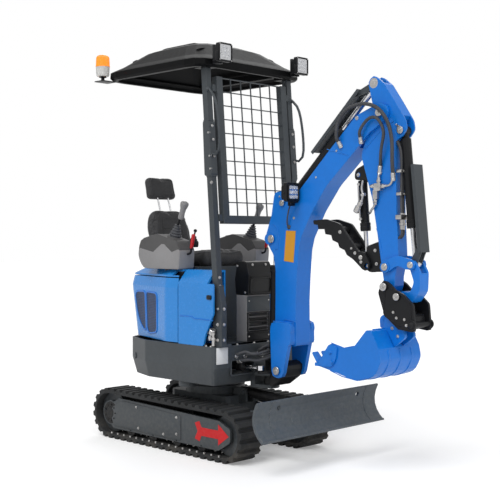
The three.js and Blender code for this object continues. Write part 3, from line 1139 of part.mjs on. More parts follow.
const BOOM_SIDE_Y = -BOOM_HALF_WIDTH - SEAT_GAP;
const ARM_SIDE_Y = -ARM_HALF_WIDTH - SEAT_GAP;
place(boomGroup, 'hose_loop_outer', loopHose([
  [1072, BOOM_SIDE_Y, 1792], [1060, -84, 1840], [1066, -82, 1915], [1114, -82, 1975],
  [1184, -82, 2004], [1260, -82, 2006], [1340, -82, 1975], [1400, -80, 1905], [1424, -72, 1810],
  [1424, -66, 1680], [1414, ARM_SIDE_Y, 1600],
], 10), RUBBER);
place(boomGroup, 'hose_loop_inner', loopHose([
  [1214, BOOM_SIDE_Y, 1806], [1220, -84, 1856], [1250, -80, 1905], [1294, -80, 1930],
  [1340, -80, 1918], [1374, -76, 1850], [1352, -68, 1750], [1326, ARM_SIDE_Y, 1640],
], 9), RUBBER);

const armGroup = pivotGroup(boomGroup, 'arm_pivot', ARM_PIVOT.x, 0, ARM_PIVOT.z);
place(armGroup, 'arm', arm(), BLUE);
const bucketRam = { barrelLength: 510, barrelRadius: 28, neckLength: 20, rodRadius: 15, eyeRadius: 24,
  baseHalf: 22, tipHalf: 16,
  pinRadius: 14, reach: 120, guardLength: 520, guardEnd: -60, guardHalf: 40, guardLift: 58 };
const bucketRamParts = placeRam(armGroup, 'bucket_cylinder', [BUCKET_RAM_BASE.x, 0, BUCKET_RAM_BASE.z],
  [ROCKER_TIP.x, 0, ROCKER_TIP.z], bucketRam);
const bucketGuard = new THREE.Mesh(geometryOf(ramGuard({ ...bucketRam, length: bucketRamParts.length })),
  DARK_GREY);
bucketGuard.name = 'bucket_cylinder_guard';
bucketRamParts.rodGroup.add(bucketGuard);

const rockerGroup = pivotGroup(armGroup, 'rocker_pivot', ROCKER_PIN.x, 0, ROCKER_PIN.z);
place(rockerGroup, 'bucket_rocker_left', rocker(), BLUE);
place(rockerGroup, 'bucket_rocker_right', mirrored(rocker()), BLUE);

const bucketGroup = pivotGroup(armGroup, 'bucket_pivot', BUCKET_PIN.x, 0, BUCKET_PIN.z);
place(bucketGroup, 'quick_coupler', quickCoupler(), BLACK);
place(bucketGroup, 'bucket', bucket(), BLUE);
const linkGroup = pivotGroup(bucketGroup, 'link_pivot', LINK_PIN.x, 0, LINK_PIN.z);
place(linkGroup, 'tipping_link', tippingLink(), BLUE);

const thumbGroup = pivotGroup(armGroup, 'thumb_pivot', THUMB_PIN.x, 0, THUMB_PIN.z);
place(thumbGroup, 'thumb', thumb(), BLACK);
placeRam(armGroup, 'thumb_cylinder', [THUMB_RAM_BASE.x, 0, THUMB_RAM_BASE.z],
  [THUMB_RAM_TIP.x, 0, THUMB_RAM_TIP.z],
  { barrelLength: 300, barrelRadius: 24, rodRadius: 12, eyeRadius: 20, baseHalf: 18, tipHalf: 16,
    pinRadius: 12, reach: 90 });

// The origin goes to the centre of the bounding box, at ground level.
const bounds = new THREE.Box3().setFromObject(machine);
machine.position.set(-(bounds.min.x + bounds.max.x) / 2, -(bounds.min.y + bounds.max.y) / 2, -bounds.min.z);

export default machine;
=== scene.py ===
import bpy
import bmesh
import json
import math
from mathutils import Matrix, Vector, noise


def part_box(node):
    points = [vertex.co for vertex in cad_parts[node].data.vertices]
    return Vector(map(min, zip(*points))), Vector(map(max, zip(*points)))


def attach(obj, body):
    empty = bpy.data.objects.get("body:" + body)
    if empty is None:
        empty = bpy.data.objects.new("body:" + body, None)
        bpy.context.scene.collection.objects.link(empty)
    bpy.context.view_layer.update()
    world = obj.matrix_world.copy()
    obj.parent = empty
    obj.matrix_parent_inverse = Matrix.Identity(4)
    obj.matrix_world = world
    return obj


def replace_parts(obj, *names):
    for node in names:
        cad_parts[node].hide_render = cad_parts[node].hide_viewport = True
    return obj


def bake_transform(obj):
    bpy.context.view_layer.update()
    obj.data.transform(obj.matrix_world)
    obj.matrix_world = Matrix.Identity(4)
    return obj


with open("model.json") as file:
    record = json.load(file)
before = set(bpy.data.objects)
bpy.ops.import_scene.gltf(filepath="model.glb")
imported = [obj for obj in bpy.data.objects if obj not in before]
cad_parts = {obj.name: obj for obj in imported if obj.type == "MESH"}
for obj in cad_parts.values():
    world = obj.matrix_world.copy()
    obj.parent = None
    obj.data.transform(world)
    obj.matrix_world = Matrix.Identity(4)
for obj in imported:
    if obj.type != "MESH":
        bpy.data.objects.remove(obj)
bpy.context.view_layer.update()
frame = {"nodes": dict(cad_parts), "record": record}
scene = bpy.context.scene

MM = 0.001
SLEW = next(j for j in frame["record"]["behaviour"]["joints"] if j["name"] == "house_slew")
SLEW_X = SLEW["pos_m"][0]


def at(x, y, z):
    """A point given in millimetres from the slew axis at ground level."""
    return Vector((SLEW_X + x * MM, y * MM, z * MM))


def mid(node):
    low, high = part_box(node)
    return (low + high) / 2


# ---------------------------------------------------------------- camera, light and floor

camera = bpy.data.objects.new("camera", bpy.data.cameras.new("camera"))
camera.data.lens = 72.2
camera.location = at(4609, -4322, 1294)
camera.rotation_euler = (math.radians(90 - 0.74), 0, math.radians(44.87))
camera.data.clip_end = 200
scene.collection.objects.link(camera)
scene.camera = camera
scene.view_settings.view_transform = "Standard"


def sun(name, strength, spread, height, turn):
    lamp = bpy.data.objects.new(name, bpy.data.lights.new(name, "SUN"))
    lamp.data.energy = strength
    lamp.data.angle = math.radians(spread)
    lamp.rotation_euler = (math.radians(90 - height), 0, math.radians(turn))
    scene.collection.objects.link(lamp)


sun("key", 1.5, 35, 52, 12)
sun("fill", 0.8, 60, 30, 88)
sun("rim", 0.5, 40, 38, 215)


# ---------------------------------------------------------------- shader maths

class Value:
    """A shader socket that works in plain sums: each operator adds its Math node."""

    def __init__(self, tree, socket):
        self.tree = tree
        self.socket = socket

    def math(self, operation, *others, clamp=False):
        node = self.tree.nodes.new("ShaderNodeMath")
        node.operation = operation
        node.use_clamp = clamp
        for slot, value in zip(node.inputs, (self, *others)):
            plug(self.tree, slot, value)
        return Value(self.tree, node.outputs[0])

    def __add__(self, other): return self.math("ADD", other)
    def __mul__(self, other): return self.math("MULTIPLY", other)
    def __sub__(self, other): return self.math("SUBTRACT", other)
    def __truediv__(self, other): return self.math("DIVIDE", other)
    def __rsub__(self, other): return (self * -1) + other
    __radd__ = __add__
    __rmul__ = __mul__

    def clamp(self): return self.math("ADD", 0, clamp=True)
    def least(self, other): return self.math("MINIMUM", other)
    def most(self, other): return self.math("MAXIMUM", other)
    def size(self): return self.math("ABSOLUTE")
    def wave(self): return self.math("SINE")
    def wrap(self, span): return self.math("FLOORED_MODULO", span)

    def step(self, low, high):
        """0 below low, 1 above high, and smooth between."""
        node = self.tree.nodes.new("ShaderNodeMapRange")
        node.interpolation_type = "SMOOTHSTEP"
        for slot, value in zip(node.inputs, (self, low, high, 0, 1)):
            plug(self.tree, slot, value)
        return Value(self.tree, node.outputs[0])


def plug(tree, slot, value):
    if isinstance(value, Value):
        tree.links.new(value.socket, slot)
    else:
        slot.default_value = value


class Finish:
    """A material with one shader; constants are set on the shader's own sockets."""

    def __init__(self, name, **constants):
        self.material = bpy.data.materials.new(name)
        self.material.use_nodes = True
        self.tree = self.material.node_tree
        self.shader = self.tree.nodes["Principled BSDF"]
        for key, value in constants.items():
            self.shader.inputs[key.replace("_", " ").title().replace("Ior", "IOR")].default_value = value
        self.place = self.node("ShaderNodeTexCoord", output="Object")

    def node(self, kind, settings=None, output=0, **values):
        node = self.tree.nodes.new(kind)
        for key, value in (settings or {}).items():
            setattr(node, key, value)
        for key, value in values.items():
            plug(self.tree, node.inputs[key], value)
        return Value(self.tree, node.outputs[output])

    def noise(self, scale, detail=3, roughness=0.55, where=None):
        return self.node("ShaderNodeTexNoise", Vector=where or self.place, Scale=scale, Detail=detail,
                         Roughness=roughness)

    def cells(self, scale, feature="F1", where=None):
        return self.node("ShaderNodeTexVoronoi", {"feature": feature}, output="Distance",
                         Vector=where or self.place, Scale=scale)

    def axes(self):
        """The x, y and z of the place, in metres."""
        split = self.tree.nodes.new("ShaderNodeSeparateXYZ")
        plug(self.tree, split.inputs[0], self.place)
        return [Value(self.tree, out) for out in split.outputs]

    def scaled(self, factors):
        """The place, stretched along each axis."""
        node = self.tree.nodes.new("ShaderNodeVectorMath")
        node.operation = "MULTIPLY"
        plug(self.tree, node.inputs[0], self.place)
        node.inputs[1].default_value = factors
        return Value(self.tree, node.outputs[0])

    def mix(self, first, second, factor):
        """first where factor is 0, second where it is 1."""
        node = self.tree.nodes.new("ShaderNodeMix")
        node.data_type = "RGBA"
        plug(self.tree, node.inputs[0], factor)
        for slot, value in ((node.inputs[6], first), (node.inputs[7], second)):
            plug(self.tree, slot, value if isinstance(value, Value) else (*value, 1))
        return Value(self.tree, node.outputs[2])

    def edges(self, radius):
        """A rounded normal, and how far it turns from the face: near 1 on an edge."""
        rounded = self.node("ShaderNodeBevel", {"samples": 4}, Radius=radius)
        face = self.node("ShaderNodeNewGeometry", output="Normal")
        dot = self.tree.nodes.new("ShaderNodeVectorMath")
        dot.operation = "DOT_PRODUCT"
        plug(self.tree, dot.inputs[0], rounded)
        plug(self.tree, dot.inputs[1], face)
        return rounded, (1 - Value(self.tree, dot.outputs["Value"])).step(0.02, 0.22)

    def bump(self, height, depth, strength=1.0, normal=None):
        values = {"Height": height, "Distance": depth, "Strength": strength}
        if normal:
            values["Normal"] = normal
        return self.node("ShaderNodeBump", **values)

    def wear(self, colour, roughness=None, normal=None):
        """Plugs what varies over the surface into the shader."""
        for key, value in (("Base Color", colour), ("Roughness", roughness), ("Normal", normal)):
            if value is not None:
                plug(self.tree, self.shader.inputs[key], value)
        return self.material


def shade(colour, factor):
    return tuple(min(1, c * factor) for c in colour)


def coating(name, colour, roughness, *, metallic=0.0, coat=0.0, grain=700, depth=0.00012, blotch=0.12,
            scuff_and_highlight=None, edge_wear_and_highlight=0.5, radius=0.004, dust=0.25, speck=0.04,
            shine=0.3):
    """Paint, plastic or bare metal: colour variation, grain, edges painted lighter (part paint wear, part painted
    highlight), specks, scratches and low dust.
    """
    f = Finish(name, metallic=metallic, coat_weight=coat, coat_roughness=0.12, specular_ior_level=shine)
    broad = f.noise(3.2, 4)
    fine = f.noise(46, 5, 0.65)
    base = f.mix(shade(colour, 1 - blotch), shade(colour, 1 + blotch),
                 (broad * 0.65 + fine * 0.35).step(0.3, 0.7))
    rounded, edge = f.edges(radius)
    scratches = f.noise(26, 6, 0.72, f.scaled((1, 1, 9))).step(0.66, 0.72)
    # Edges painted lighter: part paint wear, part a painted highlight; the scratches are wear.
    wear_and_edge_highlight = (edge * (fine + broad).step(0.86, 1.22) * edge_wear_and_highlight + scratches * 0.10).clamp()
    base = f.mix(base, scuff_and_highlight or shade(colour, 1.9), wear_and_edge_highlight)
    specks = 1 - f.cells(150).step(0.05, 0.16)
    base = f.mix(base, shade(colour, 0.45), specks * speck * 6 * fine)
    height = f.axes()[2]
    dirt = ((1 - height.step(0.02, 0.75)) * fine.step(0.35, 0.75) * dust).clamp()
    base = f.mix(base, (0.20, 0.18, 0.15), dirt)
    grain_height = f.noise(grain, 2) * 0.6 + f.cells(grain * 0.6) * 0.4
    normal = f.bump(grain_height + scratches * 0.6, depth, 0.6, rounded)
    rough = (fine * 0.16 + (roughness - 0.08) + dirt * 0.35 + wear_and_edge_highlight * 0.12).clamp()
    return f.wear(base, rough, normal)


def rubber(name, colour, roughness=0.78, dust=0.5):
    """Moulded rubber: pores, edges painted lighter (part chalky bloom, part painted highlight) and dried mud in
    the corners.
    """
    f = Finish(name, specular_ior_level=0.35)
    broad = f.noise(7, 5, 0.6)
    fine = f.noise(160, 4, 0.7)
    base = f.mix(shade(colour, 0.7), shade(colour, 1.5), (broad * 0.6 + fine * 0.4).step(0.28, 0.72))
    rounded, edge = f.edges(0.003)
    # Edges painted lighter: part chalky bloom, part a painted highlight.
    base = f.mix(base, shade(colour, 3.4), edge * fine.step(0.3, 0.8) * 0.55)
    height = f.axes()[2]
    mud = (1 - height.step(0.0, 0.28)) * broad.step(0.42, 0.66) * dust
    base = f.mix(base, (0.085, 0.075, 0.062), mud)
    relief = fine * 0.5 + f.cells(330) * 0.5
    return f.wear(base, (roughness + fine * 0.18 - 0.06).clamp(), f.bump(relief, 0.0007, 0.7, rounded))


def vinyl(name, colour):
    """Seat cover: pebbled grain with creases darkened as painted shade, lighter where it is rubbed."""
    f = Finish(name, specular_ior_level=0.45, sheen_weight=0.15, sheen_roughness=0.4)
    broad = f.noise(9, 4)
    pebble = f.cells(520)
    crease = f.noise(38, 6, 0.7, f.scaled((1, 1.6, 1)))
    fold = (crease - 0.5).size()
    base = f.mix(shade(colour, 0.72), shade(colour, 1.45), (broad * 0.7 + pebble * 0.3).step(0.25, 0.65))
    # Painted shade: the creases are painted darker.
    base = f.mix(base, shade(colour, 0.5), 1 - fold.step(0.0, 0.03))
    relief = pebble * 0.45 + fold.step(0.0, 0.05) * 0.55
    return f.wear(base, (0.44 + pebble * 0.25 + broad * 0.12).clamp(), f.bump(relief, 0.0007, 0.75))


def honeycomb(name, rib, hole_shade, pitch):
    """Punched sheet: rows of six-sided openings painted dark as shade, their walls the height of the ribs."""
    f = Finish(name)
    x, _, z = f.axes()
    u = x / pitch
    v = z / pitch
    tall = math.sqrt(3)
    first_u = u.wrap(1) - 0.5
    first_v = v.wrap(tall) - tall / 2
    other_u = (u + 0.5).wrap(1) - 0.5
    other_v = (v + tall / 2).wrap(tall) - tall / 2

    def reach(a, b):
        return (a.size() * 0.5 + b.size() * (tall / 2)).most(a.size())

    hexagon = reach(first_u, first_v).least(reach(other_u, other_v))
    wall = hexagon.step(0.34, 0.42)
    fine = f.noise(60, 4)
    # The openings take the dark hole_shade colour: painted shade in place of depth.
    colour = f.mix(hole_shade, f.mix(shade(rib, 0.8), shade(rib, 1.25), fine), wall)
    return f.wear(colour, (fine * 0.2 + 0.4 - wall * 0.1).clamp(), f.bump(wall + fine * 0.05, 0.004, 0.9))


def chrome(name, colour):
    """Ground rod: fine rings round it, an oil film and dust."""
    f = Finish(name, metallic=1.0)
    broad = f.noise(14, 4)
    fine = f.noise(900, 2, 0.5, f.scaled((1, 0.2, 1)))
    base = f.mix(shade(colour, 0.82), colour, broad.step(0.3, 0.65))
    return f.wear(base, (0.09 + broad * 0.14 + fine * 0.05).clamp(), f.bump(fine, 0.00003, 0.5))


def lens(name, colour, glow=0.0, pitch=0.006):
    """A moulded lens with upright flutes, its colour painted lighter and darker along them as painted light and
    shade.
    """
    f = Finish(name, transmission_weight=0.35, ior=1.46, coat_weight=0.4, emission_strength=glow)
    x, y, _ = f.axes()
    flute = ((x + y) * (2 * math.pi / pitch)).wave()
    fine = f.noise(80, 3)
    # Painted highlight and shade: the colour swings lighter and darker with the flutes.
    base = f.mix(shade(colour, 0.82), shade(colour, 1.08), (flute * 0.35 + 0.5 + fine * 0.15).clamp())
    if glow:
        plug(f.tree, f.shader.inputs["Emission Color"], base)
    return f.wear(base, (fine * 0.12 + 0.14).clamp(), f.bump(flute, 0.0006, 0.6))


BLUE = (0.003, 0.165, 0.62)
GREY = (0.047, 0.055, 0.062)
BLUE_PAINT = coating("blue paint", BLUE, 0.33, coat=0.15, scuff_and_highlight=(0.12, 0.38, 0.78), edge_wear_and_highlight=0.55, blotch=0.07,
                     dust=0.10, speck=0.02)
COVER_BLUE = coating("cover blue paint", (0.012, 0.215, 0.62), 0.26, coat=0.3, scuff_and_highlight=(0.16, 0.42, 0.80),
                     edge_wear_and_highlight=0.4, blotch=0.05,
                     dust=0.05, speck=0.02)
DARK_GREY_PAINT = coating("dark grey paint", GREY, 0.46, coat=0.12, scuff_and_highlight=(0.17, 0.18, 0.19), dust=0.18)
BLADE_PAINT = coating("blade paint", (0.066, 0.080, 0.094), 0.44, coat=0.1, scuff_and_highlight=(0.30, 0.31, 0.32),
                      edge_wear_and_highlight=0.8,
                      dust=0.22, blotch=0.16)
BLACK_PAINT = coating("black paint", (0.010, 0.0105, 0.012), 0.40, coat=0.05, shine=0.18,
                      scuff_and_highlight=(0.09, 0.09, 0.10), dust=0.12)
ROD_CHROME = chrome("chromed rod", (0.80, 0.80, 0.82))
CAST_ENGINE = coating("cast engine", (0.11, 0.11, 0.115), 0.6, metallic=0.5, grain=240, depth=0.0006)
TRACK_RUBBER = rubber("track rubber", (0.022, 0.023, 0.024))
HOSE_RUBBER = rubber("hose rubber", (0.05, 0.052, 0.058), 0.55, dust=0.0)
SEAT_VINYL = vinyl("seat vinyl", (0.026, 0.026, 0.028))
MOULDED = coating("moulded plastic", (0.0065, 0.0068, 0.0072), 0.40, grain=420, depth=0.00035,
                  scuff_and_highlight=(0.06, 0.06, 0.062),
                  radius=0.008, dust=0.1)
ROOF_PLASTIC = coating("roof plastic", (0.005, 0.0052, 0.0056), 0.44, grain=420, depth=0.00035,
                       scuff_and_highlight=(0.04, 0.04, 0.042),
                       radius=0.008, dust=0.0, shine=0.07)
GREY_PLASTIC = coating("grey plastic", (0.235, 0.232, 0.236), 0.55, grain=420, depth=0.0003, blotch=0.08,
                       scuff_and_highlight=(0.36, 0.36, 0.36), radius=0.006, dust=0.06)
CONSOLE_TOP = coating("console top plastic", (0.078, 0.077, 0.078), 0.55, grain=420, depth=0.0003, radius=0.006)
RED_PLASTIC = coating("red plastic", (0.50, 0.008, 0.012), 0.3, coat=0.3, radius=0.003, blotch=0.06)
AMBER = lens("amber lens", (1.0, 0.33, 0.012), glow=0.30)
CLEAR_PLASTIC = lens("clear plastic", (0.80, 0.80, 0.78), pitch=0.004)
ZINC = coating("plated steel", (0.52, 0.51, 0.50), 0.3, metallic=0.95, grain=500, blotch=0.2, dust=0.08,
               speck=0.1,
               radius=0.0015)
# Its dark second colour is painted shade in the openings of the sheet.
HEX_GRILLE = honeycomb("honeycomb sheet", (0.010, 0.060, 0.21), (0.003, 0.008, 0.026), 0.0115)
LABEL_WHITE = coating("white plate", (0.66, 0.67, 0.68), 0.4, blotch=0.04, dust=0.05, speck=0.01)
LABEL_YELLOW = coating("yellow plate", (0.62, 0.29, 0.025), 0.4, blotch=0.06, dust=0.05, speck=0.01)
ARROW_RED = coating("red mark", (0.55, 0.006, 0.010), 0.42, blotch=0.07, dust=0.12, speck=0.02)
LED = lens("lamp facet", (0.86, 0.87, 0.90), pitch=0.003)
REFLECTOR = coating("bright reflector", (0.75, 0.76, 0.78), 0.16, metallic=1.0, blotch=0.05, dust=0, speck=0)

CAD_FINISH = {
    "blue_paint": BLUE_PAINT, "dark_grey_paint": DARK_GREY_PAINT, "blade_paint": BLADE_PAINT,
    "black_paint": BLACK_PAINT, "chromed_rod": ROD_CHROME, "cast_engine": CAST_ENGINE,
    "track_rubber": TRACK_RUBBER, "hose_rubber": HOSE_RUBBER, "seat_vinyl": SEAT_VINYL,
    "moulded_plastic": MOULDED, "grey_plastic": GREY_PLASTIC, "red_plastic": RED_PLASTIC, "amber_lens": AMBER,
}


SLOT_OF = {finish.name: slot for slot, finish in CAD_FINISH.items()}
for finish, slot in ((COVER_BLUE, "blue_paint"), (HEX_GRILLE, "blue_paint"), (LABEL_YELLOW, "blue_paint"),
                     (LABEL_WHITE, "dark_grey_paint"), (ROOF_PLASTIC, "moulded_plastic"),
                     (CONSOLE_TOP, "grey_plastic"),
                     (CLEAR_PLASTIC, "amber_lens"), (LED, "amber_lens"), (ZINC, "chromed_rod"),
                     (REFLECTOR, "chromed_rod"), (ARROW_RED, "red_plastic")):
    SLOT_OF[finish.name] = slot


def shade_by_angle(limit):
    """Curved faces shade smooth, and edges sharper than the limit stay crisp."""
    group = bpy.data.node_groups.new("smooth curves", "GeometryNodeTree")
    group.interface.new_socket("Geometry", in_out="INPUT", socket_type="NodeSocketGeometry")
    group.interface.new_socket("Geometry", in_out="OUTPUT", socket_type="NodeSocketGeometry")
    start, end = group.nodes.new("NodeGroupInput"), group.nodes.new("NodeGroupOutput")
    angle = group.nodes.new("GeometryNodeInputMeshEdgeAngle")
    flat = group.nodes.new("FunctionNodeCompare")
    flat.operation = "LESS_THAN"
    flat.inputs[1].default_value = math.radians(limit)
    faces = group.nodes.new("GeometryNodeSetShadeSmooth")
    rims = group.nodes.new("GeometryNodeSetShadeSmooth")
    rims.domain = "EDGE"
    group.links.new(start.outputs[0], faces.inputs[0])
    group.links.new(faces.outputs[0], rims.inputs[0])
    group.links.new(angle.outputs[0], flat.inputs[0])
    group.links.new(flat.outputs[0], rims.inputs["Shade Smooth"])
    group.links.new(rims.outputs[0], end.inputs[0])
    return group


SMOOTH_CURVES = shade_by_angle(33)


def smooth(piece):
    piece.modifiers.new("smooth curves", "NODES").node_group = SMOOTH_CURVES


def dress(node, material):
    data = frame["nodes"][node].data
    data.materials.clear()
    data.materials.append(material)


for part in frame["record"]["subparts"]:
    dress(part["node"], CAD_FINISH[part["material_slot"]])
    smooth(frame["nodes"][part["node"]])
for cover in ("rear_cover", "engine_door", "side_cover_left", "side_cover_right"):
    dress(cover, COVER_BLUE)
dress("canopy_roof", ROOF_PLASTIC)


# ---------------------------------------------------------------- floor and white surround

def surround():
    world = bpy.data.worlds.new("studio")
    scene.world = world
    world.use_nodes = True
    tree = world.node_tree
    background = tree.nodes["Background"]
    background.inputs["Color"].default_value = (1, 1, 1, 1)
    path = tree.nodes.new("ShaderNodeLightPath")
    # The camera sees white; the object is lit by 0.52 of it, and what shines reflects 0.68.
    seen = Value(tree, path.outputs["Is Camera Ray"]).most(Value(tree, path.outputs["Is Transmission Ray"]))
    shiny = Value(tree, path.outputs["Is Glossy Ray"]) * 0.16
    plug(tree, background.inputs["Strength"], seen * 0.48 + shiny + 0.52)

    size = 40
    sheet = bpy.data.meshes.new("floor")
    sheet.from_pydata([(-size, -size, 0), (size, -size, 0), (size, size, 0), (-size, size, 0)], [],
                      [(0, 1, 2, 3)])
    floor = bpy.data.objects.new("floor", sheet)
    scene.collection.objects.link(floor)
    f = Finish("pale floor", roughness=0.9, specular_ior_level=0.1)
    speckle = f.noise(2.5, 3)
    ray = f.node("ShaderNodeLightPath", output="Is Camera Ray")
    f.wear(f.mix((0.83, 0.83, 0.83), (0.86, 0.86, 0.86), speckle))
    f.shader.inputs["Emission Color"].default_value = (1, 1, 1, 1)
    plug(f.tree, f.shader.inputs["Emission Strength"], ray * 0.22)
    sheet.materials.append(f.material)


surround()

# ---------------------------------------------------------------- mesh helpers

def on(origin, normal, up=(0, 0, 1)):
    """Places (right, up, out), in millimetres, on a face as its outside is seen."""
    out = Vector(normal).normalized()
    right = Vector(up).cross(out).normalized()
    rise = out.cross(right)
    return lambda u, v, w=0: origin + (right * u + rise * v + out * w) * MM


def draped(node, origin, normal):
    """As on, but each place is laid on the node's own surface."""
    flat = on(origin, normal)
    out = Vector(normal).normalized()
    thing = frame["nodes"][node]

    def place(u, v, w=0):
        start = flat(u, v, 60)
        hit, point, _, _ = thing.ray_cast(start, -out, distance=0.12)
        return (point if hit else flat(u, v)) + out * w * MM

    return place


def rounded(width, height, radius, steps=4, u=0, v=0):
    """The outline of a rectangle with round corners."""
    points = []
    for corner, (side, rise) in enumerate(((1, 1), (-1, 1), (-1, -1), (1, -1))):
        for k in range(steps + 1):
            turn = math.pi / 2 * (corner + k / steps)
            points.append((u + side * (width / 2 - radius) + radius * math.cos(turn),
                           v + rise * (height / 2 - radius) + radius * math.sin(turn)))
    return points


def path(corners, steps=4):
    """An outline through corners (u, v, radius), each rounded off by its radius."""
    points = []
    for i, corner in enumerate(corners):
        here = Vector(corner[:2])
        radius = corner[2] if len(corner) > 2 else 0
        if not radius:
            points.append(tuple(here))
            continue
        before = Vector(corners[i - 1][:2]) - here
        after = Vector(corners[(i + 1) % len(corners)][:2]) - here
        start = here + before.normalized() * min(radius, before.length * 0.48)
        end = here + after.normalized() * min(radius, after.length * 0.48)
        for k in range(steps + 1):
            t = k / steps
            points.append(tuple(start * (1 - t) ** 2 + here * 2 * t * (1 - t) + end * t * t))
    return points


def route(points, step=6.0):
    """Evenly close points on a smooth curve through a few, the step in millimetres."""
    knots = [Vector(p) for p in points]
    knots = [knots[0] * 2 - knots[1]] + knots + [knots[-1] * 2 - knots[-2]]
    line = []
    for a, b, c, d in zip(knots, knots[1:], knots[2:], knots[3:]):
        count = max(2, round((c - b).length / (step * MM)))
        for k in range(count):
            t = k / count
            line.append(0.5 * (b * 2 + (c - a) * t + (a * 2 - b * 5 + c * 4 - d) * t * t
                               + (b * 3 - a - c * 3 + d) * t ** 3))
    return line + [knots[-2]]


class Piece:
    """Solids gathered into one mesh of one finish."""

    def __init__(self):
        self.mesh = bmesh.new()

    def skin(self, rings, closed=False):
        """A solid through rings of points that all have the same count."""
        rows = [[self.mesh.verts.new(p) for p in ring] for ring in rings]
        count = len(rows[0])
        for a, b in zip(rows, rows[1:] + rows[:1] if closed else rows[1:]):
            for i in range(count):
                j = (i + 1) % count
                self.mesh.faces.new((a[i], a[j], b[j], b[i]))
        if not closed:
            self.mesh.faces.new(rows[0][::-1])
            self.mesh.faces.new(rows[-1])
        return self

    def plate(self, place, outline, low, high):
        return self.skin([[place(u, v, w) for u, v in outline] for w in (low, high)])

    def band(self, place, outer, inner, low, high):
        """A flat frame between two outlines of the same count."""
        rings = [[place(u, v, w) for u, v in line] for line, w in
                 ((outer, low), (outer, high), (inner, high), (inner, low))]
        return self.skin(rings, closed=True)

    def turned(self, start, axis, profile, sides=20):
        """A round solid about an axis, from (distance, radius) pairs in millimetres."""
        axis = Vector(axis).normalized()
        side = axis.orthogonal().normalized()
        other = axis.cross(side)
        ring = [2 * math.pi * k / sides for k in range(sides)]
        spokes = [side * math.cos(a) + other * math.sin(a) for a in ring]
        return self.skin([[start + axis * d * MM + spoke * max(r, 0.05) * MM for spoke in spokes]
                          for d, r in profile])

    def tube(self, line, radius, sides=10, relief=None):
        """A round tube along close points; relief(distance, angle) scales its radius."""
        tangents = [(b - a).normalized() for a, b in zip(line[:1] + line, line[1:] + line[-1:])
                    if (b - a).length]
        tangents = (tangents + tangents[-1:])[:len(line)]
        side = tangents[0].orthogonal().normalized()
        rings = []
        walked = 0.0
        for i, point in enumerate(line):
            if i:
                walked += (point - line[i - 1]).length / MM
            side = (side - tangents[i] * side.dot(tangents[i])).normalized()
            other = tangents[i].cross(side)
            ring = []
            for k in range(sides):
                a = 2 * math.pi * k / sides
                r = radius * MM * (relief(walked, a) if relief else 1)
                ring.append(point + (side * math.cos(a) + other * math.sin(a)) * r)
            rings.append(ring)
        return self.skin(rings)

    def bolt(self, point, normal, size):
        """A six-sided head, its corners taken off, on a round washer."""
        self.turned(point, normal, [(0, size * 0.85), (2, size * 0.85), (2.4, size * 0.8)], 18)
        start = point + Vector(normal).normalized() * 2 * MM
        return self.turned(start, normal,
                           [(0, size * 0.56), (size * 0.45, size * 0.56), (size * 0.55, size * 0.48)], 6)

    def weld(self, line, width):
        """A rippled bead of weld."""
        points = [Vector(p) for p in line]
        close = [a.lerp(b, k / 40) for a, b in zip(points, points[1:]) for k in range(40)] + [points[-1]]
        return self.tube(close, width, 6, lambda s, a: 1 + 0.16 * math.sin(s * 0.9))

    def done(self, name, body, material, bevel=0.0, slot=None):
        """Ends the mesh: an object of one finish that rides on a body; its slot is looked up but not used."""
        slot = slot or SLOT_OF[material.name]
        data = bpy.data.meshes.new(name)
        bmesh.ops.recalc_face_normals(self.mesh, faces=self.mesh.faces)
        self.mesh.to_mesh(data)
        self.mesh.free()
        thing = bpy.data.objects.new(name, data)
        scene.collection.objects.link(thing)
        data.materials.append(material)
        if bevel:
            edge = thing.modifiers.new("edge", "BEVEL")
            edge.width = bevel * MM
            edge.segments = 2
            edge.limit_method = "ANGLE"
            edge.angle_limit = math.radians(38)
        smooth(thing)
        if body:
            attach(thing, body)
        return thing


RIGHT = (0, -1, 0)
FRONT = (1, 0, 0)
UP = (0, 0, 1)
# The machine in section, seen from its right: (x, z) in millimetres.
SECTION = on(at(0, 0, 0), RIGHT)

# ---------------------------------------------------------------- undercarriage

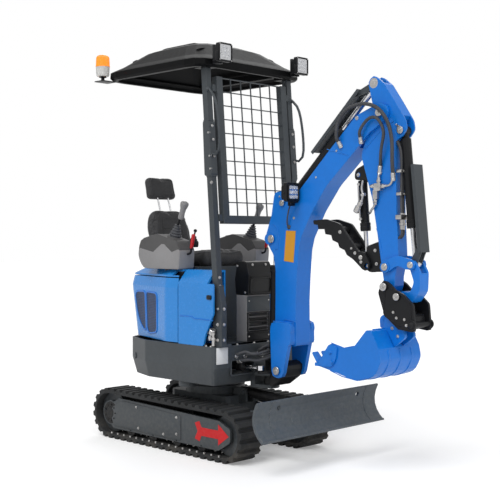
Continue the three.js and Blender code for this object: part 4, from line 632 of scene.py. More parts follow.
BEAM_MID = -62
BEAM_SIDE = 368
SPROCKET_X = -598.5
SPROCKET_Z = 160
ROLLER_Z = 70.3
for side, label in ((-1, "right"), (1, "left")):
    out = (0, side, 0)
    face = on(at(BEAM_MID, side * BEAM_SIDE, 0), out)

    def u(x):
        return (x - BEAM_MID) * -side

    arrow = [(-144, 46), (-104, 60), (-86, 25), (56, 25), (56, 62), (144, 0), (56, -62), (56, -25), (-86, -25),
             (-104, -60), (-144, -46), (-120, 0)]
    Piece().plate(face, [(u(358 + x), 154 + z) for x, z in arrow], 0, 0.9).done(
        f"direction_arrow_{label}", "undercarriage", ARROW_RED)

    cover = path([(-590, 132, 26), (-560, 80, 20), (90, 74, 14), (90, 224, 14), (-480, 250, 30),
                  (-590, 190, 36)])
    Piece().plate(face, [(u(x), z) for x, z in cover], -2, 5).done(
        f"beam_cover_{label}", "undercarriage", DARK_GREY_PAINT, bevel=3.5)

    studs = Piece()
    for x, z, size in ((-309, 97, 10), (-67, 93, 10), (54, 110, 10), (54, 210, 10), (-330, 226, 9)):
        studs.bolt(face(u(x), z, 5), out, size)
    studs.done(f"beam_bolts_{label}", "undercarriage", ZINC)

    motor = Piece()
    for k in range(9):
        turn = 2 * math.pi * k / 9
        motor.bolt(at(SPROCKET_X + 52 * math.cos(turn), side * 370, SPROCKET_Z + 52 * math.sin(turn)), out, 9)
    motor.turned(at(SPROCKET_X, side * 340, SPROCKET_Z), out,
                 [(0, 74), (26, 74), (30, 68), (30, 40), (33, 36), (34, 6)], 36)
    tooth = []
    for k in range(22):
        turn = 2 * math.pi * k / 22
        for step, reach in ((-0.09, 104), (-0.045, 124), (0.045, 124), (0.09, 104)):
            tooth.append((SPROCKET_X + reach * math.cos(turn + step),
                          SPROCKET_Z + reach * math.sin(turn + step)))
    motor.plate(face, [(u(x), z) for x, z in tooth], -62, -48)
    inner_guard = path([(-520, 214, 30), (-470, 286, 30), (120, 296, 30), (120, 210, 20)])
    motor.plate(face, [(u(x), z) for x, z in inner_guard], -78, -66)
    motor.done(f"drive_sprocket_{label}", "undercarriage", BLACK_PAINT, bevel=1)

    cores = Piece()
    for k in range(17):
        x = -560 + k * 62.6
        for y in (386, 300):
            core = path([(-7, -6, 3), (7, -6, 3), (7, 6, 3), (-7, 6, 3)], 2)
            cores.plate(on(at(x, side * y, 34), UP, FRONT), core, -3, 9)
    cores.done(f"track_cores_{label}", "undercarriage", ZINC, bevel=2)

    wheel = Piece()
    for dx in (-330, -110, 110, 330):
        wheel.turned(at(BEAM_MID + dx, side * 352, ROLLER_Z), out,
                     [(0, 37.9), (10, 37.9), (13, 35), (13, 24), (9, 22), (9, 12), (15, 11), (16, 5)], 28)
    wheel.done(f"bottom_rollers_{label}", "undercarriage", BLACK_PAINT)

# ---------------------------------------------------------------- blade

strip = Piece()
for side in (-1, 1):
    line = []
    for k in range(13):
        t = k / 12
        bulge = 48 * 4 * t * (1 - t)
        line.append(at(930 - 46 * t - 0.98 * bulge + 1.2, side * 405, 194 + 210 * t - 0.21 * bulge))
    strip.tube(line, 1.6, 8)
strip.done("blade_seams", "blade", BLADE_PAINT)
rail = Piece()
rail.tube([at(876, y, 403) for y in range(-519, 520, 173)], 6, 12)
rail.done("blade_top_rail", "blade", BLADE_PAINT)
edge = Piece()
edge.plate(on(at(929.6, 0, 200), (0.98, 0, 0.21)), rounded(1036, 12, 2, 2), -6, 0.6)
edge.done("cutting_edge", "blade", BLADE_PAINT, bevel=0.6)
bolts = Piece()
for side in (-1, 1):
    bolts.bolt(at(330, side * 182, 225), (0, side, 0), 16)
bolts.done("blade_bolts", "blade", ZINC)

# ---------------------------------------------------------------- house and covers

Piece().plate(on(at(414.2, -336, 607), FRONT), rounded(92, 96, 3), -0.5, 1.2).done(
    "blank_plate", "house", LABEL_WHITE, bevel=0.4)

rims = Piece()
# Black discs inside the tie-down rings: painted shade where the openings are dark.
hole_shades = Piece()
for side in (-1, 1):
    out = (-0.5, side * 0.86, 0)
    spot = draped("house_base", at(-384, side * 345, 545), out)(0, 0, -4)
    rims.turned(spot, out, [(0, 21), (6.5, 21), (7, 19), (7, 14), (2, 13)], 24)
    hole_shades.turned(spot, out, [(0, 13.5), (5, 13.5), (5.2, 2)], 20)
rims.done("tie_down_rings", "house", DARK_GREY_PAINT)
hole_shades.done("tie_down_hole_shades", "house", BLACK_PAINT)

studs = Piece()
for y in (-388, 388):
    for x in (335, 375):
        studs.bolt(at(x, y, 660), UP, 10)
for x, y in ((400, -200), (400, -60), (400, 60), (400, 200), (330, -300), (330, 300), (365, -250), (365, 250)):
    studs.bolt(at(x, y, 660), UP, 11)
for y in (-62, 62):
    for z in (410, 480):
        studs.bolt(at(423, y, z), FRONT, 9)
studs.done("deck_bolts", "house", ZINC)

# The mouth round the swing cylinder, with a turned-out lip.
mouth = on(at(414, -169, 530), FRONT)
Piece().band(mouth, rounded(202, 100, 14, 4), rounded(184, 82, 8, 4), -2, 5).done(
    "swing_mouth_lip", "house", DARK_GREY_PAINT, bevel=2)

# Grilles in the engine door: a raised frame round two honeycomb sheets.
slant = draped("engine_door", at(-300, -330, 826), (-0.27, -0.963, 0))
left_grille = path([(-158, 118, 46), (-14, 122, 20), (-14, -112, 16), (-58, -106, 40), (-120, -44, 60),
                    (-148, 40, 60)], 6)
right_grille = path([(12, 122, 20), (158, 118, 26), (158, -112, 26), (46, -128, 40), (12, -112, 26)], 6)


def sized(outline, by):
    """The outline moved outwards by a distance, or inwards by a negative one."""
    loop = outline[1:] + outline[:1]
    if sum(a[0] * b[1] - b[0] * a[1] for a, b in zip(outline, loop)) > 0:
        by = -by
    moved = []
    for (u, v), before, after in zip(outline, outline[-1:] + outline, loop):
        along = (Vector(after) - Vector(before)).normalized()
        moved.append((u - along.y * by, v + along.x * by))
    return moved


def filled(piece, place, outline, low, high):
    """A sheet that follows a bent face: the outline cut into upright strips."""
    lows = min(u for u, _ in outline)
    highs = max(u for u, _ in outline)
    rows = 10
    rings = []
    for k in range(rows + 1):
        u = lows + (highs - lows) * (0.004 + 0.992 * k / rows)
        hits = []
        for a, b in zip(outline, outline[1:] + outline[:1]):
            if (a[0] - u) * (b[0] - u) <= 0 and a[0] != b[0]:
                hits.append(a[1] + (b[1] - a[1]) * (u - a[0]) / (b[0] - a[0]))
        bottom, top = min(hits), max(hits)
        rings.append([place(u, bottom, low), place(u, top, low), place(u, top, high), place(u, bottom, high)])
    return piece.skin(rings)


frames = Piece()
sheets = Piece()
for outline in (left_grille, right_grille):
    frames.band(slant, sized(outline, 11), outline, -1.5, 4.5)
    filled(sheets, slant, outline, 0.2, 1.4)
frames.done("engine_grille_frame", "engine_door", BLUE_PAINT, bevel=2)
sheets.done("engine_grille_sheet", "engine_door", HEX_GRILLE)

# Side covers: the line pressed into both, and the latch of the right one.
COVER_Y = 398
for side, label in ((-1, "right"), (1, "left")):
    flat = on(at(250, side * COVER_Y, 860), (0, side, 0))
    swage = [(-side * (x - 250), z - 860) for x, z in ((112, 832), (225, 832), (240, 822), (404, 818), (404, 812),
                                                       (238, 815), (222, 825), (112, 825))]
    Piece().plate(flat, swage, -1, 2.2).done(
        f"panel_swage_{label}", "house", BLUE_PAINT, bevel=1.6)
latch = Piece()
latch.plate(on(at(372, -COVER_Y, 946), RIGHT), rounded(40, 26, 8), -1, 6)
latch.turned(at(380, -COVER_Y - 5, 946), RIGHT, [(0, 8), (5, 8), (6, 6.5), (6, 2)], 18)
latch.done("cover_latches", "house", BLACK_PAINT, bevel=1.5)

# Dark counterweight skin on the engine door, with its louvres and bolts.

def lean(z):
    """How far the rear face has leaned back at a height."""
    return 58 * (z - 660) / 330


rear = Piece()
rings = []
for z in (668, 760, 850, 940, 958):
    back = 499 + lean(z)
    curve = [(16 - back, -214), (4 - back, -190), (-back, -160), (-back, -60), (-back, 60), (-back, 176),
             (4 - back, 212)]
    rings.append([at(x - 7, y * 1.012, z) for x, y in curve] + [at(x + 3, y * 0.99, z) for x, y in curve[::-1]])
rear.skin(rings)
rear.done("rear_weight_skin", "engine_door", DARK_GREY_PAINT, bevel=3)
vents = Piece()
rear_face = on(at(-560, 0, 800), (-1, 0, 0.17))
for k in range(7):
    vents.plate(rear_face, rounded(250, 9, 4, 3, 0, -60 + k * 22), -2, 12)
vents.done("rear_louvres", "engine_door", DARK_GREY_PAINT, bevel=2)
rear_bolts = Piece()
for y in (-190, 190):
    for z in (700, 930):
        rear_bolts.bolt(at(-506 - lean(z), y, z), (-1, 0, 0.1), 15)
rear_bolts.done("rear_weight_bolts", "engine_door", ZINC)

# ---------------------------------------------------------------- front console and column

COLUMN_X = 378
front = Piece()
slope = on(at(402, 0, 1003), (1, 0, -0.08))
front.band(slope, rounded(186, 100, 16), rounded(166, 82, 12), -3, 1.2)
front.done("console_rim", "house", MOULDED, bevel=1)
heads = Piece()
for y in (-56, 56):
    heads.bolt(at(383, y, 1128), (0.965, 0, 0.26), 9)
for y in (-84, 84):
    for z in (700, 912):
        heads.bolt(at(COLUMN_X, y, z), FRONT, 9)
heads.bolt(at(300, -100, 1120), RIGHT, 9)
heads.bolt(at(365, -100, 962), RIGHT, 9)
heads.done("console_bolts", "house", ZINC)
fins = Piece()
for k in range(6):
    fins.plate(on(at(COLUMN_X, 0, 722 + k * 21), FRONT), rounded(158, 7, 3), -8, 9)
fins.done("column_fins", "house", BLACK_PAINT, bevel=1.5)
panel = Piece()
panel.plate(on(at(COLUMN_X, 0, 893), FRONT), rounded(196, 92, 6), -1, 4)
panel.done("column_panel", "house", DARK_GREY_PAINT, bevel=1.5)
dark_face = Piece()
dark_face.band(on(at(COLUMN_X, 0, 785), FRONT), rounded(198, 118, 4), rounded(170, 104, 6), -1, 3)
dark_face.plate(on(at(COLUMN_X, 0, 698), FRONT), rounded(198, 54, 4), -1, 3)
dark_face.done("column_lower", "house", BLACK_PAINT, bevel=1.5)

# ---------------------------------------------------------------- canopy

POST_Y = 345
LAMP_Z = 2356


def post_x(z):
    """The middle of the leaning post at a height."""
    return 388 - (z - 985) * math.tan(math.radians(4.5))


for side, label in ((-1, "right"), (1, "left")):
    heads = Piece()
    collars = Piece()
    for z in (1610, 1690, 1765, 1900):
        heads.bolt(at(post_x(z) + 18, side * 365, z), (0, side, 0), 12)
    for z in (1765, 1860, 1940):
        heads.bolt(at(post_x(z) + (34.5 - (z - 1650) * 0.026), side * POST_Y, z), (1, 0, 0.08), 10)
    for z in (1010, 1060):
        heads.bolt(at(post_x(z) + 20, side * POST_Y, z), FRONT, 11)
    for z in (700, 790, 880):
        heads.bolt(at(440, side * POST_Y, z), FRONT, 12)
        heads.bolt(at(408, side * 365, z), (0, side, 0), 12)
    for y in (300, 318):
        heads.bolt(at(402, side * y, 674), UP, 10)
    for z in (1648, 1972):
        place = on(at(post_x(z), side * POST_Y, z), (-0.078, 0, 1), (0, 1, 0))
        collars.plate(place, rounded(48, 48, 6, 3), -4.5, 4.5)
    for z in (2150, 1775):
        collars.turned(at(post_x(z) + 16, side * 356, z), FRONT, [(0, 15), (5, 15), (7, 12), (12, 11)], 18)
    collars.done(f"post_collars_{label}", "house", DARK_GREY_PAINT, bevel=1.5)
    low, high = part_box(f"work_lamp_{label}")
    lamp_y = mid(f"work_lamp_{label}").y

    def lamp_spot(x, dy, z):
        return Vector((x, lamp_y + dy * MM, at(0, 0, z).z))

    face = on(lamp_spot(high.x, 0, LAMP_Z), FRONT)
    bezel = Piece().band(face, rounded(106, 106, 13), rounded(88, 88, 8), -1, 4)
    for k in range(7):
        fin = on(lamp_spot(low.x + 0.034, -39 + k * 13, LAMP_Z), (-1, 0, 0))
        bezel.plate(fin, rounded(4, 92, 1.5, 2), -8, 14)
    bezel.turned(lamp_spot(low.x + 0.045, 0, LAMP_Z - 60), UP, [(0, 13), (6, 13), (8, 10), (12, 10)], 18)
    for w in (-1, 1):
        cheek = on(lamp_spot(high.x - 0.014, w * 56.5, LAMP_Z - 16), (0, w, 0))
        bezel.plate(cheek, rounded(22, 56, 6, 3, 0, -8), -2, 2)
    bezel.done(f"lamp_bezel_{label}", "house", BLACK_PAINT, bevel=1.2)
    Piece().plate(face, rounded(90, 90, 8), -0.5, 0.8).done(f"lamp_reflector_{label}", "house", REFLECTOR)
    facets = Piece()
    for k in range(8):
        turn = 2 * math.pi * (k + 0.5) / 8
        facets.turned(face(31 * math.cos(turn), 31 * math.sin(turn), 0.8), FRONT,
                      [(0, 10), (1.5, 9), (2.6, 6), (3, 2)], 16)
    facets.turned(face(0, 0, 0.8), FRONT, [(0, 12), (1.6, 10.5), (2.8, 6), (3.1, 2)], 18)
    facets.done(f"lamp_facets_{label}", "house", LED)
    screws = Piece()
    for a, b in ((-46, -46), (46, -46), (46, 46), (-46, 46)):
        screws.turned(face(a, b, 3.5), FRONT, [(0, 3.6), (1.2, 3.4), (1.8, 2)], 12)
    screws.done(f"lamp_screws_{label}", "house", ZINC)
    heads.done(f"post_bolts_{label}", "house", ZINC)

ROOF_MID = -105
ROOF_TOP = 2472


def drop(distance):
    """How far the roof has fallen at a distance from its middle."""
    return (max(0, abs(distance) - 120) / 240) ** 1.6 * 92


ribs = Piece()
for y in (-210, -105, 0, 105, 210):
    ribs.tube([at(ROOF_MID + dx, y, ROOF_TOP - drop(dx)) for dx in range(-345, 346, 23)], 9, 8)
for dx in (-300, -150, 150, 300):
    ribs.tube([at(ROOF_MID + dx, y, ROOF_TOP - max(drop(dx), drop(y))) for y in range(-330, 331, 22)], 8, 8)
ribs.done("roof_ribs", "house", ROOF_PLASTIC)
lip = Piece()
outline = path([(-455, -455, 130), (455, -455, 130), (455, 455, 130), (-455, 455, 130)], 10)
for share, z, radius in ((0.962, 2288, 6), (0.862, 2318, 7)):
    lip.tube([at(ROOF_MID + x * share, y * share, z) for x, y in outline + outline[:1]], radius, 8)
lip.done("roof_lip", "house", ROOF_PLASTIC)

# Beacon: fluted dome on a pale base and a flat bracket.
FLUTES = 40
dome_low, dome_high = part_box("beacon_dome")
centre = mid("beacon_dome")
tall = (dome_high.z - dome_low.z) / MM
start = Vector((centre.x, centre.y, dome_low.z))
dome = Piece()
rings = []
for d, r, depth in ((0, 45.5, 0), (3, 45.5, 0), (4, 43, 1), (30, 42, 1), (56, 40.5, 1), (64, 37, 0.8),
                    (70, 30, 0.5), (74, 20, 0.2),
                    (tall, 6, 0)):
    rings.append([start + Vector((math.cos(a) * q, math.sin(a) * q, d)) * MM
                  for a, q in ((math.pi * k / FLUTES, r + depth * (0.9 if k % 2 else -0.9))
                               for k in range(FLUTES * 2))])
dome.skin(rings)
dome = dome.done("beacon_lens", "house", AMBER)
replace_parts(dome, "beacon_dome")
foot = Piece()
base_low, base_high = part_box("beacon_base")
foot.turned(Vector((centre.x, centre.y, base_high.z - 0.062)), UP,
            [(0, 30), (2, 38), (12, 41), (50, 43.5), (60, 44), (62, 43.5)], 40)
foot = foot.done("beacon_foot", "house", CLEAR_PLASTIC)
bracket = Piece()
bracket.turned(Vector((centre.x, centre.y, base_low.z + 0.002)), UP,
               [(0, 17), (4, 17), (6, 11), (24, 11), (27, 24), (31, 24)], 20)
bracket.plate(on(base_low, UP, (0, 1, 0)), rounded(90, 110, 10, 4, 50, 58), 0, 5)
bracket.done("beacon_bracket", "house", BLACK_PAINT, bevel=1)
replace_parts(foot, "beacon_base")

# ---------------------------------------------------------------- padded seat


def pad(name, place, outline, thick, edge, cap):
    """A stuffed cover: a soft-edged form, filled out by air pressure until it crowns."""
    rings = []
    for k in range(9):
        turn = math.pi * (k / 8 - 0.5)
        rings.append([place(u, v, thick / 2 * (1 + math.sin(turn))) for u, v in
                      sized(outline, -edge * (1 - math.cos(turn)) - 2)])
    thing = Piece().skin(rings).done(name, None, SEAT_VINYL)
    thing.modifiers.clear()
    voxel = thing.modifiers.new("remesh", "REMESH")
    voxel.mode = "VOXEL"
    voxel.voxel_size = 0.006
    apply_modifiers(thing)
    fill_with_air(thing, cap)
    level = thing.modifiers.new("soft", "SUBSURF")
    level.levels = level.render_levels = 1
    apply_modifiers(thing)
    for face in thing.data.polygons:
        face.use_smooth = True
    return thing


def apply_modifiers(thing):
    shape = thing.evaluated_get(bpy.context.evaluated_depsgraph_get())
    data = bpy.data.meshes.new_from_object(shape)
    thing.modifiers.clear()
    thing.data = data


def fill_with_air(thing, cap):
    """A cloth simulation under pressure; no point moves further than the cap, in millimetres."""
    rest = [v.co.copy() for v in thing.data.vertices]
    cloth = thing.modifiers.new("air", "CLOTH")
    cloth.settings.use_pressure = True
    cloth.settings.uniform_pressure_force = 4.0
    cloth.settings.effector_weights.gravity = 0
    cloth.settings.quality = 4
    for number in range(1, 21):
        scene.frame_set(number)
    shape = thing.evaluated_get(bpy.context.evaluated_depsgraph_get()).data
    moved = [v.co.copy() for v in shape.vertices]
    thing.modifiers.remove(cloth)
    scene.frame_set(1)
    for vertex, start, end in zip(thing.data.vertices, rest, moved):
        step = end - start
        vertex.co = start + step * min(1, cap * MM / max(step.length, 1e-9))


def seam(thing, name, place, line, radius=2.6, lift=0.4):
    """Piping laid on the cover where a line meets it."""
    out = (place(0, 0, 1) - place(0, 0, 0)).normalized()
    spots = []
    for u, v in line:
        hit, point, _, _ = thing.ray_cast(place(u, v, 400), -out)
        if hit:
            spots.append(point + out * lift * MM)
    Piece().tube(spots, radius, 8).done(name, "house", SEAT_VINYL)


SEAT_Z = 1114.3


def close(outline):
    """The outline as one closed line, with six points to each of its edges."""
    points = []
    for a, b in zip(outline, outline[1:] + outline[:1]):
        points += [(a[0] + (b[0] - a[0]) * k / 6, a[1] + (b[1] - a[1]) * k / 6) for k in range(6)]
    return points + points[:1]


def on_seat(u, v, w):
    """Along the seat (forward, to the left, up); the pad is thicker at its front."""
    rise = 84 + 34 * max(0, min(1, (u + 300) / 400)) ** 1.5
    return at(u, v, SEAT_Z + 2 + w * (rise - 14) / 100)


def sunk(place, depth):
    """The same face, set back by a depth."""
    return lambda u, v, w: place(u, v, w - depth)


bottom = path([(-292, -180, 46), (112, -180, 60), (112, 180, 60), (-292, 180, 46)], 6)
cushion = pad("seat_pad", on_seat, bottom, 88, 26, cap=14)
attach(cushion, "house")
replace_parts(cushion, "seat_cushion")
seam(cushion, "seat_welt", on_seat, close(sized(bottom, -26)))
for k, u in enumerate((-180, -90, 0)):
    seam(cushion, f"seat_channel_{k}", on_seat, [(u, v) for v in range(-120, 121, 8)], 1.6, 0.0)

rear_place = sunk(on(at(-447, 0, 1342), (0.966, 0, 0.248)), 38)
back_outline = path([(-180, -146, 50), (180, -146, 50), (176, 40, 60), (128, 142, 70), (-128, 142, 70),
                     (-176, 40, 60)], 6)
back = pad("back_pad", rear_place, back_outline, 62, 24, cap=12)
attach(back, "house")
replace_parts(back, "seat_back")
seam(back, "back_welt", rear_place, close(sized(back_outline, -26)))
inner = path([(-92, -120, 20), (92, -120, 20), (76, 66, 30), (-76, 66, 30)], 5)
seam(back, "back_panel_seam", rear_place, close(inner), 2.0, 0.1)
for k, v in enumerate((-60, 0)):
    seam(back, f"back_channel_{k}", rear_place, [(u, v) for u in range(-84, 85, 8)], 1.6, 0.0)
stay = Piece()
stay.plate(on(at(-380, 0, 1150), RIGHT),
           path([(-72, -34, 10), (60, -34, 8), (50, 30, 12), (-20, 60, 20), (-72, 60, 14)]), -88, 88)
stay.done("seat_hinge", "house", BLACK_PAINT, bevel=3)

rear_head = sunk(on(at(-540, 0, 1616), (0.966, 0, 0.236)), 30)
head_outline = path([(-118, -76, 34), (118, -76, 34), (114, 76, 40), (-114, 76, 40)], 6)
head = pad("head_pad", rear_head, head_outline, 56, 20, cap=10)
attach(head, "house")
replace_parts(head, "headrest")
seam(head, "head_welt", rear_head, close(sized(head_outline, -20)))
posts = Piece()
for y in (-45, 45):
    posts.tube(route([at(-486, y, 1470), at(-498, y, 1510), at(-516, y, 1560)]), 6, 12)
posts.done("headrest_posts", "house", ROD_CHROME)

# ---------------------------------------------------------------- consoles and levers

for side, label in ((-1, "right"), (1, "left")):
    y = side * 325
    dress(f"console_{label}", CONSOLE_TOP)
    across = on(at(0, y, 0), RIGHT)
    lower_shell = path([(-253, 1100.6, 56), (90, 1100.6, 12), (99, 1213), (84, 1222, 8), (24, 1204),
                        (-46, 1252), (-72, 1252),
                        (-150, 1203), (-278, 1228, 6), (-296, 1188, 34)])
    Piece().plate(across, lower_shell, -61.5, 61.5).done(
        f"console_shell_{label}", "house", GREY_PLASTIC, bevel=4)
    collar = Piece()
    collar.turned(at(-14, y, 1284), (0.3, 0, 1), [(0, 50), (8, 50), (12, 46), (14, 38)], 32)
    collar.plate(on(at(-170, y, 1301), (-0.12, 0, 1), (0, 1, 0)), rounded(70, 100, 14, 4), -6, 6)
    collar.done(f"console_collar_{label}", "house", CONSOLE_TOP, bevel=2)
    boot = Piece()
    axis = Vector((24, 0, 70))
    rings = []
    for k in range(31):
        t = k / 30
        rings.append((t * 78, (40 - 25 * t) + 3.6 * math.cos(t * 10 * math.pi)))
    boot.turned(at(-12, y, 1294), axis, rings, 32)
    boot.done(f"joystick_boot_{label}", "house", HOSE_RUBBER)
    stem = Piece().tube(route([at(12, y, 1366), at(28, y, 1396), at(44, y, 1416)]), 8, 14)
    stem.done(f"joystick_stem_{label}", "house", BLACK_PAINT)
    grip = Piece()
    grip.turned(at(38, y, 1402), (42, 0, 104),
                [(0, 11), (3, 17), (20, 18.5), (42, 16.5), (66, 18), (84, 24), (100, 26), (108, 22),
                                             (112, 12), (113, 3)], 28)
    grip.turned(at(84, y, 1497), (0.6, 0, 0.4), [(0, 8), (8, 8), (10, 6), (10, 1)], 16)
    grip = grip.done(f"joystick_grip_{label}", "house", GREY_PLASTIC)
    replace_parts(grip, f"joystick_{label}")
    lever_y = side * 321
    Piece().tube(route([at(96, lever_y, 1192), at(112, lever_y, 1194), at(127, lever_y, 1204),
                        at(134, lever_y, 1236)]), 6.5, 12).done(
        f"safety_stem_{label}", "house", BLACK_PAINT)
    handle = Piece()
    handle.skin([[at(x + dx * wide, lever_y + dy * wide, z) for dx, dy in rounded(20, 20, 7, 3)]
                 for x, z, wide in ((131, 1226, 0.7), (134, 1236, 0.95), (140, 1262, 1.0), (147, 1290, 1.12),
                                    (151, 1308, 1.0),
                                    (152, 1312, 0.6))])
    handle = handle.done(f"safety_handle_{label}", "house", RED_PLASTIC)
    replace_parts(handle, f"safety_lever_{label}")

# Throttle and key block on the inside of the right console.
block = Piece()
block.plate(SECTION, path([(36, 1232, 12), (92, 1232, 12), (96, 1268, 14), (60, 1282, 14), (30, 1262, 10)]),
            228, 262)
block.turned(at(66, -244, 1272), (0.3, 0, 1), [(0, 20), (6, 22), (12, 20), (16, 14), (26, 13), (30, 9)], 20)
block.tube(route([at(66, -244, 1290), at(74, -244, 1310), at(80, -244, 1328)]), 5, 10)
block.turned(at(80, -244, 1324), (0.2, 0, 1), [(0, 6), (3, 10), (10, 11), (15, 9), (18, 4)], 16)
for k in range(3):
    block.turned(at(44 + k * 16, -226, 1252), (0, 1, 0), [(0, 6), (6, 6), (8, 4)], 12)
block.done("throttle_block", "house", BLACK_PAINT, bevel=2)

# ---------------------------------------------------------------- swing bracket and boom

# The pins as (x, z) in the rest pose. All of them run straight across.
BOOM_FOOT = (630, 520)
BOOM_RAM_EYE = (548, 1283)
ARM_RAM_BASE = (633, 1491)
BOOM_TIP = (1335, 1955)
ARM_TAIL = (1281, 2119)
BUCKET_RAM_BASE = (1459, 1854)
ROCKER_FOOT = (1369, 1135)
ROCKER_HEAD = (1531, 1149)
BUCKET_PIN = (1379, 1031)
LINK_FOOT = (1464, 982)
THUMB_HINGE = (1245, 1138)
THUMB_RAM_BASE = (1175, 1632)
THUMB_RAM_EYE = (1208, 1184)


def on_pin(pin, y=0):
    return at(pin[0], y, pin[1])


def pin_cap(piece, pin, y, face, radius, size):
    """A turned pin head with one bolt in it."""
    out = Vector((0, face, 0))
    point = on_pin(pin, face * y)
    piece.turned(point, out, [(0, radius), (3, radius), (5, radius - 2), (5, 4)], 28)
    piece.bolt(point + out * 5 * MM, out, size)


def keeper(piece, x, y, z, turn, face):
    """A grease nipple and a keeper plate beside a pin."""
    place = on(at(x, y, z), (0, face, 0))
    c, s = math.cos(turn), math.sin(turn)
    outline = [(u * c - v * s, u * s + v * c) for u, v in rounded(46, 18, 8, 3, 30)]
    piece.plate(place, outline, 0, 4)
    piece.bolt(place(44 * c, 44 * s, 4), (0, face, 0), 8)
    piece.turned(at(x, y, z), (0, face, 0), [(0, 5), (9, 5), (10, 3.4), (14, 3.4), (15, 2)], 10)


foot_pins = Piece()
for face in (-1, 1):
    pin_cap(foot_pins, BOOM_FOOT, 112, face, 24, 12)
foot_pins.done("boom_foot_pin_caps", "swing_bracket", ZINC)

king = Piece()
king.turned(at(490, 0, 466), UP, [(0, 40), (5, 40), (7, 36), (7, 12), (12, 12), (14, 8)], 28)
for k in range(4):
    a = math.pi / 4 + k * math.pi / 2
    king.bolt(at(490 + 28 * math.cos(a), 28 * math.sin(a), 473), UP, 7)
king.done("king_pin_cap", "swing_bracket", BLACK_PAINT)

BOOM_Y = 60
boom_marks = Piece()
boom_marks.plate(on(at(692, -BOOM_Y, 1239), RIGHT), path([(-47, -84, 3), (28, -92, 3), (45, 90, 3), (-30, 92, 3)]),
                 0, 1.1)
boom_marks.done("boom_blank_plate", "boom", LABEL_YELLOW)

boom_bolts = Piece()
boom_bolts.bolt(at(723, -BOOM_Y, 1403), RIGHT, 9)
for face in (-1, 1):
    pin_cap(boom_bolts, BOOM_RAM_EYE, 68, face, 24, 11)
    pin_cap(boom_bolts, BOOM_TIP, 67, face, 22, 11)
    pin_cap(boom_bolts, ARM_RAM_BASE, 67, face, 18, 10)
    boom_bolts.bolt(at(1183, face * BOOM_Y, 1938), (0, face, 0), 13)
    keeper(boom_bolts, 655, face * BOOM_Y, 1504, 0.5, face)
    for x, z in ((610, 1530), (890, 1630), (1040, 1770)):
        boom_bolts.bolt(at(x, face * BOOM_Y, z), (0, face, 0), 7)
boom_bolts.done("boom_pins_and_bolts", "boom", ZINC)

grommet = Piece()
grommet.turned(at(684, -BOOM_Y, 1352), RIGHT, [(0, 13), (3, 13), (6, 10), (8, 6), (8, 2)], 20)
grommet.tube(route([at(684, -61, 1352), at(681, -72, 1368), at(686, -76, 1405), at(704, -84, 1450),
                    at(728, -96, 1482),
                    at(744, -112, 1500)]), 4.2, 10)
grommet.done("lamp_cable", "boom", HOSE_RUBBER)

seams = Piece()
for face in (-1, 1):
    y = face * 60.4
    seams.weld([at(972, y, 1782), at(1046, y, 1760), at(1122, y, 1742)], 2.6)
    seams.weld([at(740, y, 806), at(700, y, 812), at(660, y, 818), at(640, y, 800), at(580, y, 804)], 2.6)
    seams.weld([at(568, y, 1218), at(596, y, 1226), at(606, y, 1290), at(588, y, 1350), at(556, y, 1372)], 2.6)
    seams.weld([at(575, y + face * 16, 801), at(654, y + face * 16, 801), at(733, y + face * 16, 801)], 4)
seams.done("boom_welds", "boom", BLUE_PAINT)

# Lamp on the boom: its bezel and a grid of round emitters in square cups.
LAMP_FACE = on(at(770, -120, 1548), FRONT)
Piece().band(LAMP_FACE, rounded(92, 92, 14, 4), rounded(74, 74, 8, 4), -1, 7).done(
    "boom_lamp_bezel", "boom", MOULDED, bevel=1.5, slot="black_paint")
Piece().plate(LAMP_FACE, rounded(76, 76, 8, 4), 0, 1.5).done(
    "boom_lamp_reflector", "boom", REFLECTOR, slot="black_paint")
emitters = Piece()
cups = Piece()
for u in (-27, 0, 27):
    for v in (-27, 0, 27):
        emitters.turned(LAMP_FACE(u, v, 1), FRONT, [(0, 11), (2, 11), (4, 8), (4.6, 3)], 16)
        cups.band(LAMP_FACE, rounded(26, 26, 5, 3, u, v), rounded(22, 22, 9, 3, u, v), 1, 5)
emitters.done("boom_lamp_emitters", "boom", LED, slot="black_paint")
cups.done("boom_lamp_cups", "boom", REFLECTOR, slot="black_paint")
fins = Piece()
for k in range(7):
    fins.plate(on(at(742, k * 12 - 156, 1548), (0, 1, 0)), rounded(14, 78, 3, 2, 8), -1.5, 1.5)
fins.done("boom_lamp_fins", "boom", MOULDED, slot="black_paint")
stalk = Piece()
stalk.plate(on(at(745, -90, 1490), UP, FRONT), rounded(52, 34, 6, 3), -2, 2)
stalk.bolt(at(745, -104, 1492), UP, 9)
for face in (-1, 1):
    stalk.bolt(at(750, -120 + face * 50, 1540), (0, face, 0), 9)
stalk.done("boom_lamp_stay", "boom", BLACK_PAINT)

# ---------------------------------------------------------------- cylinders


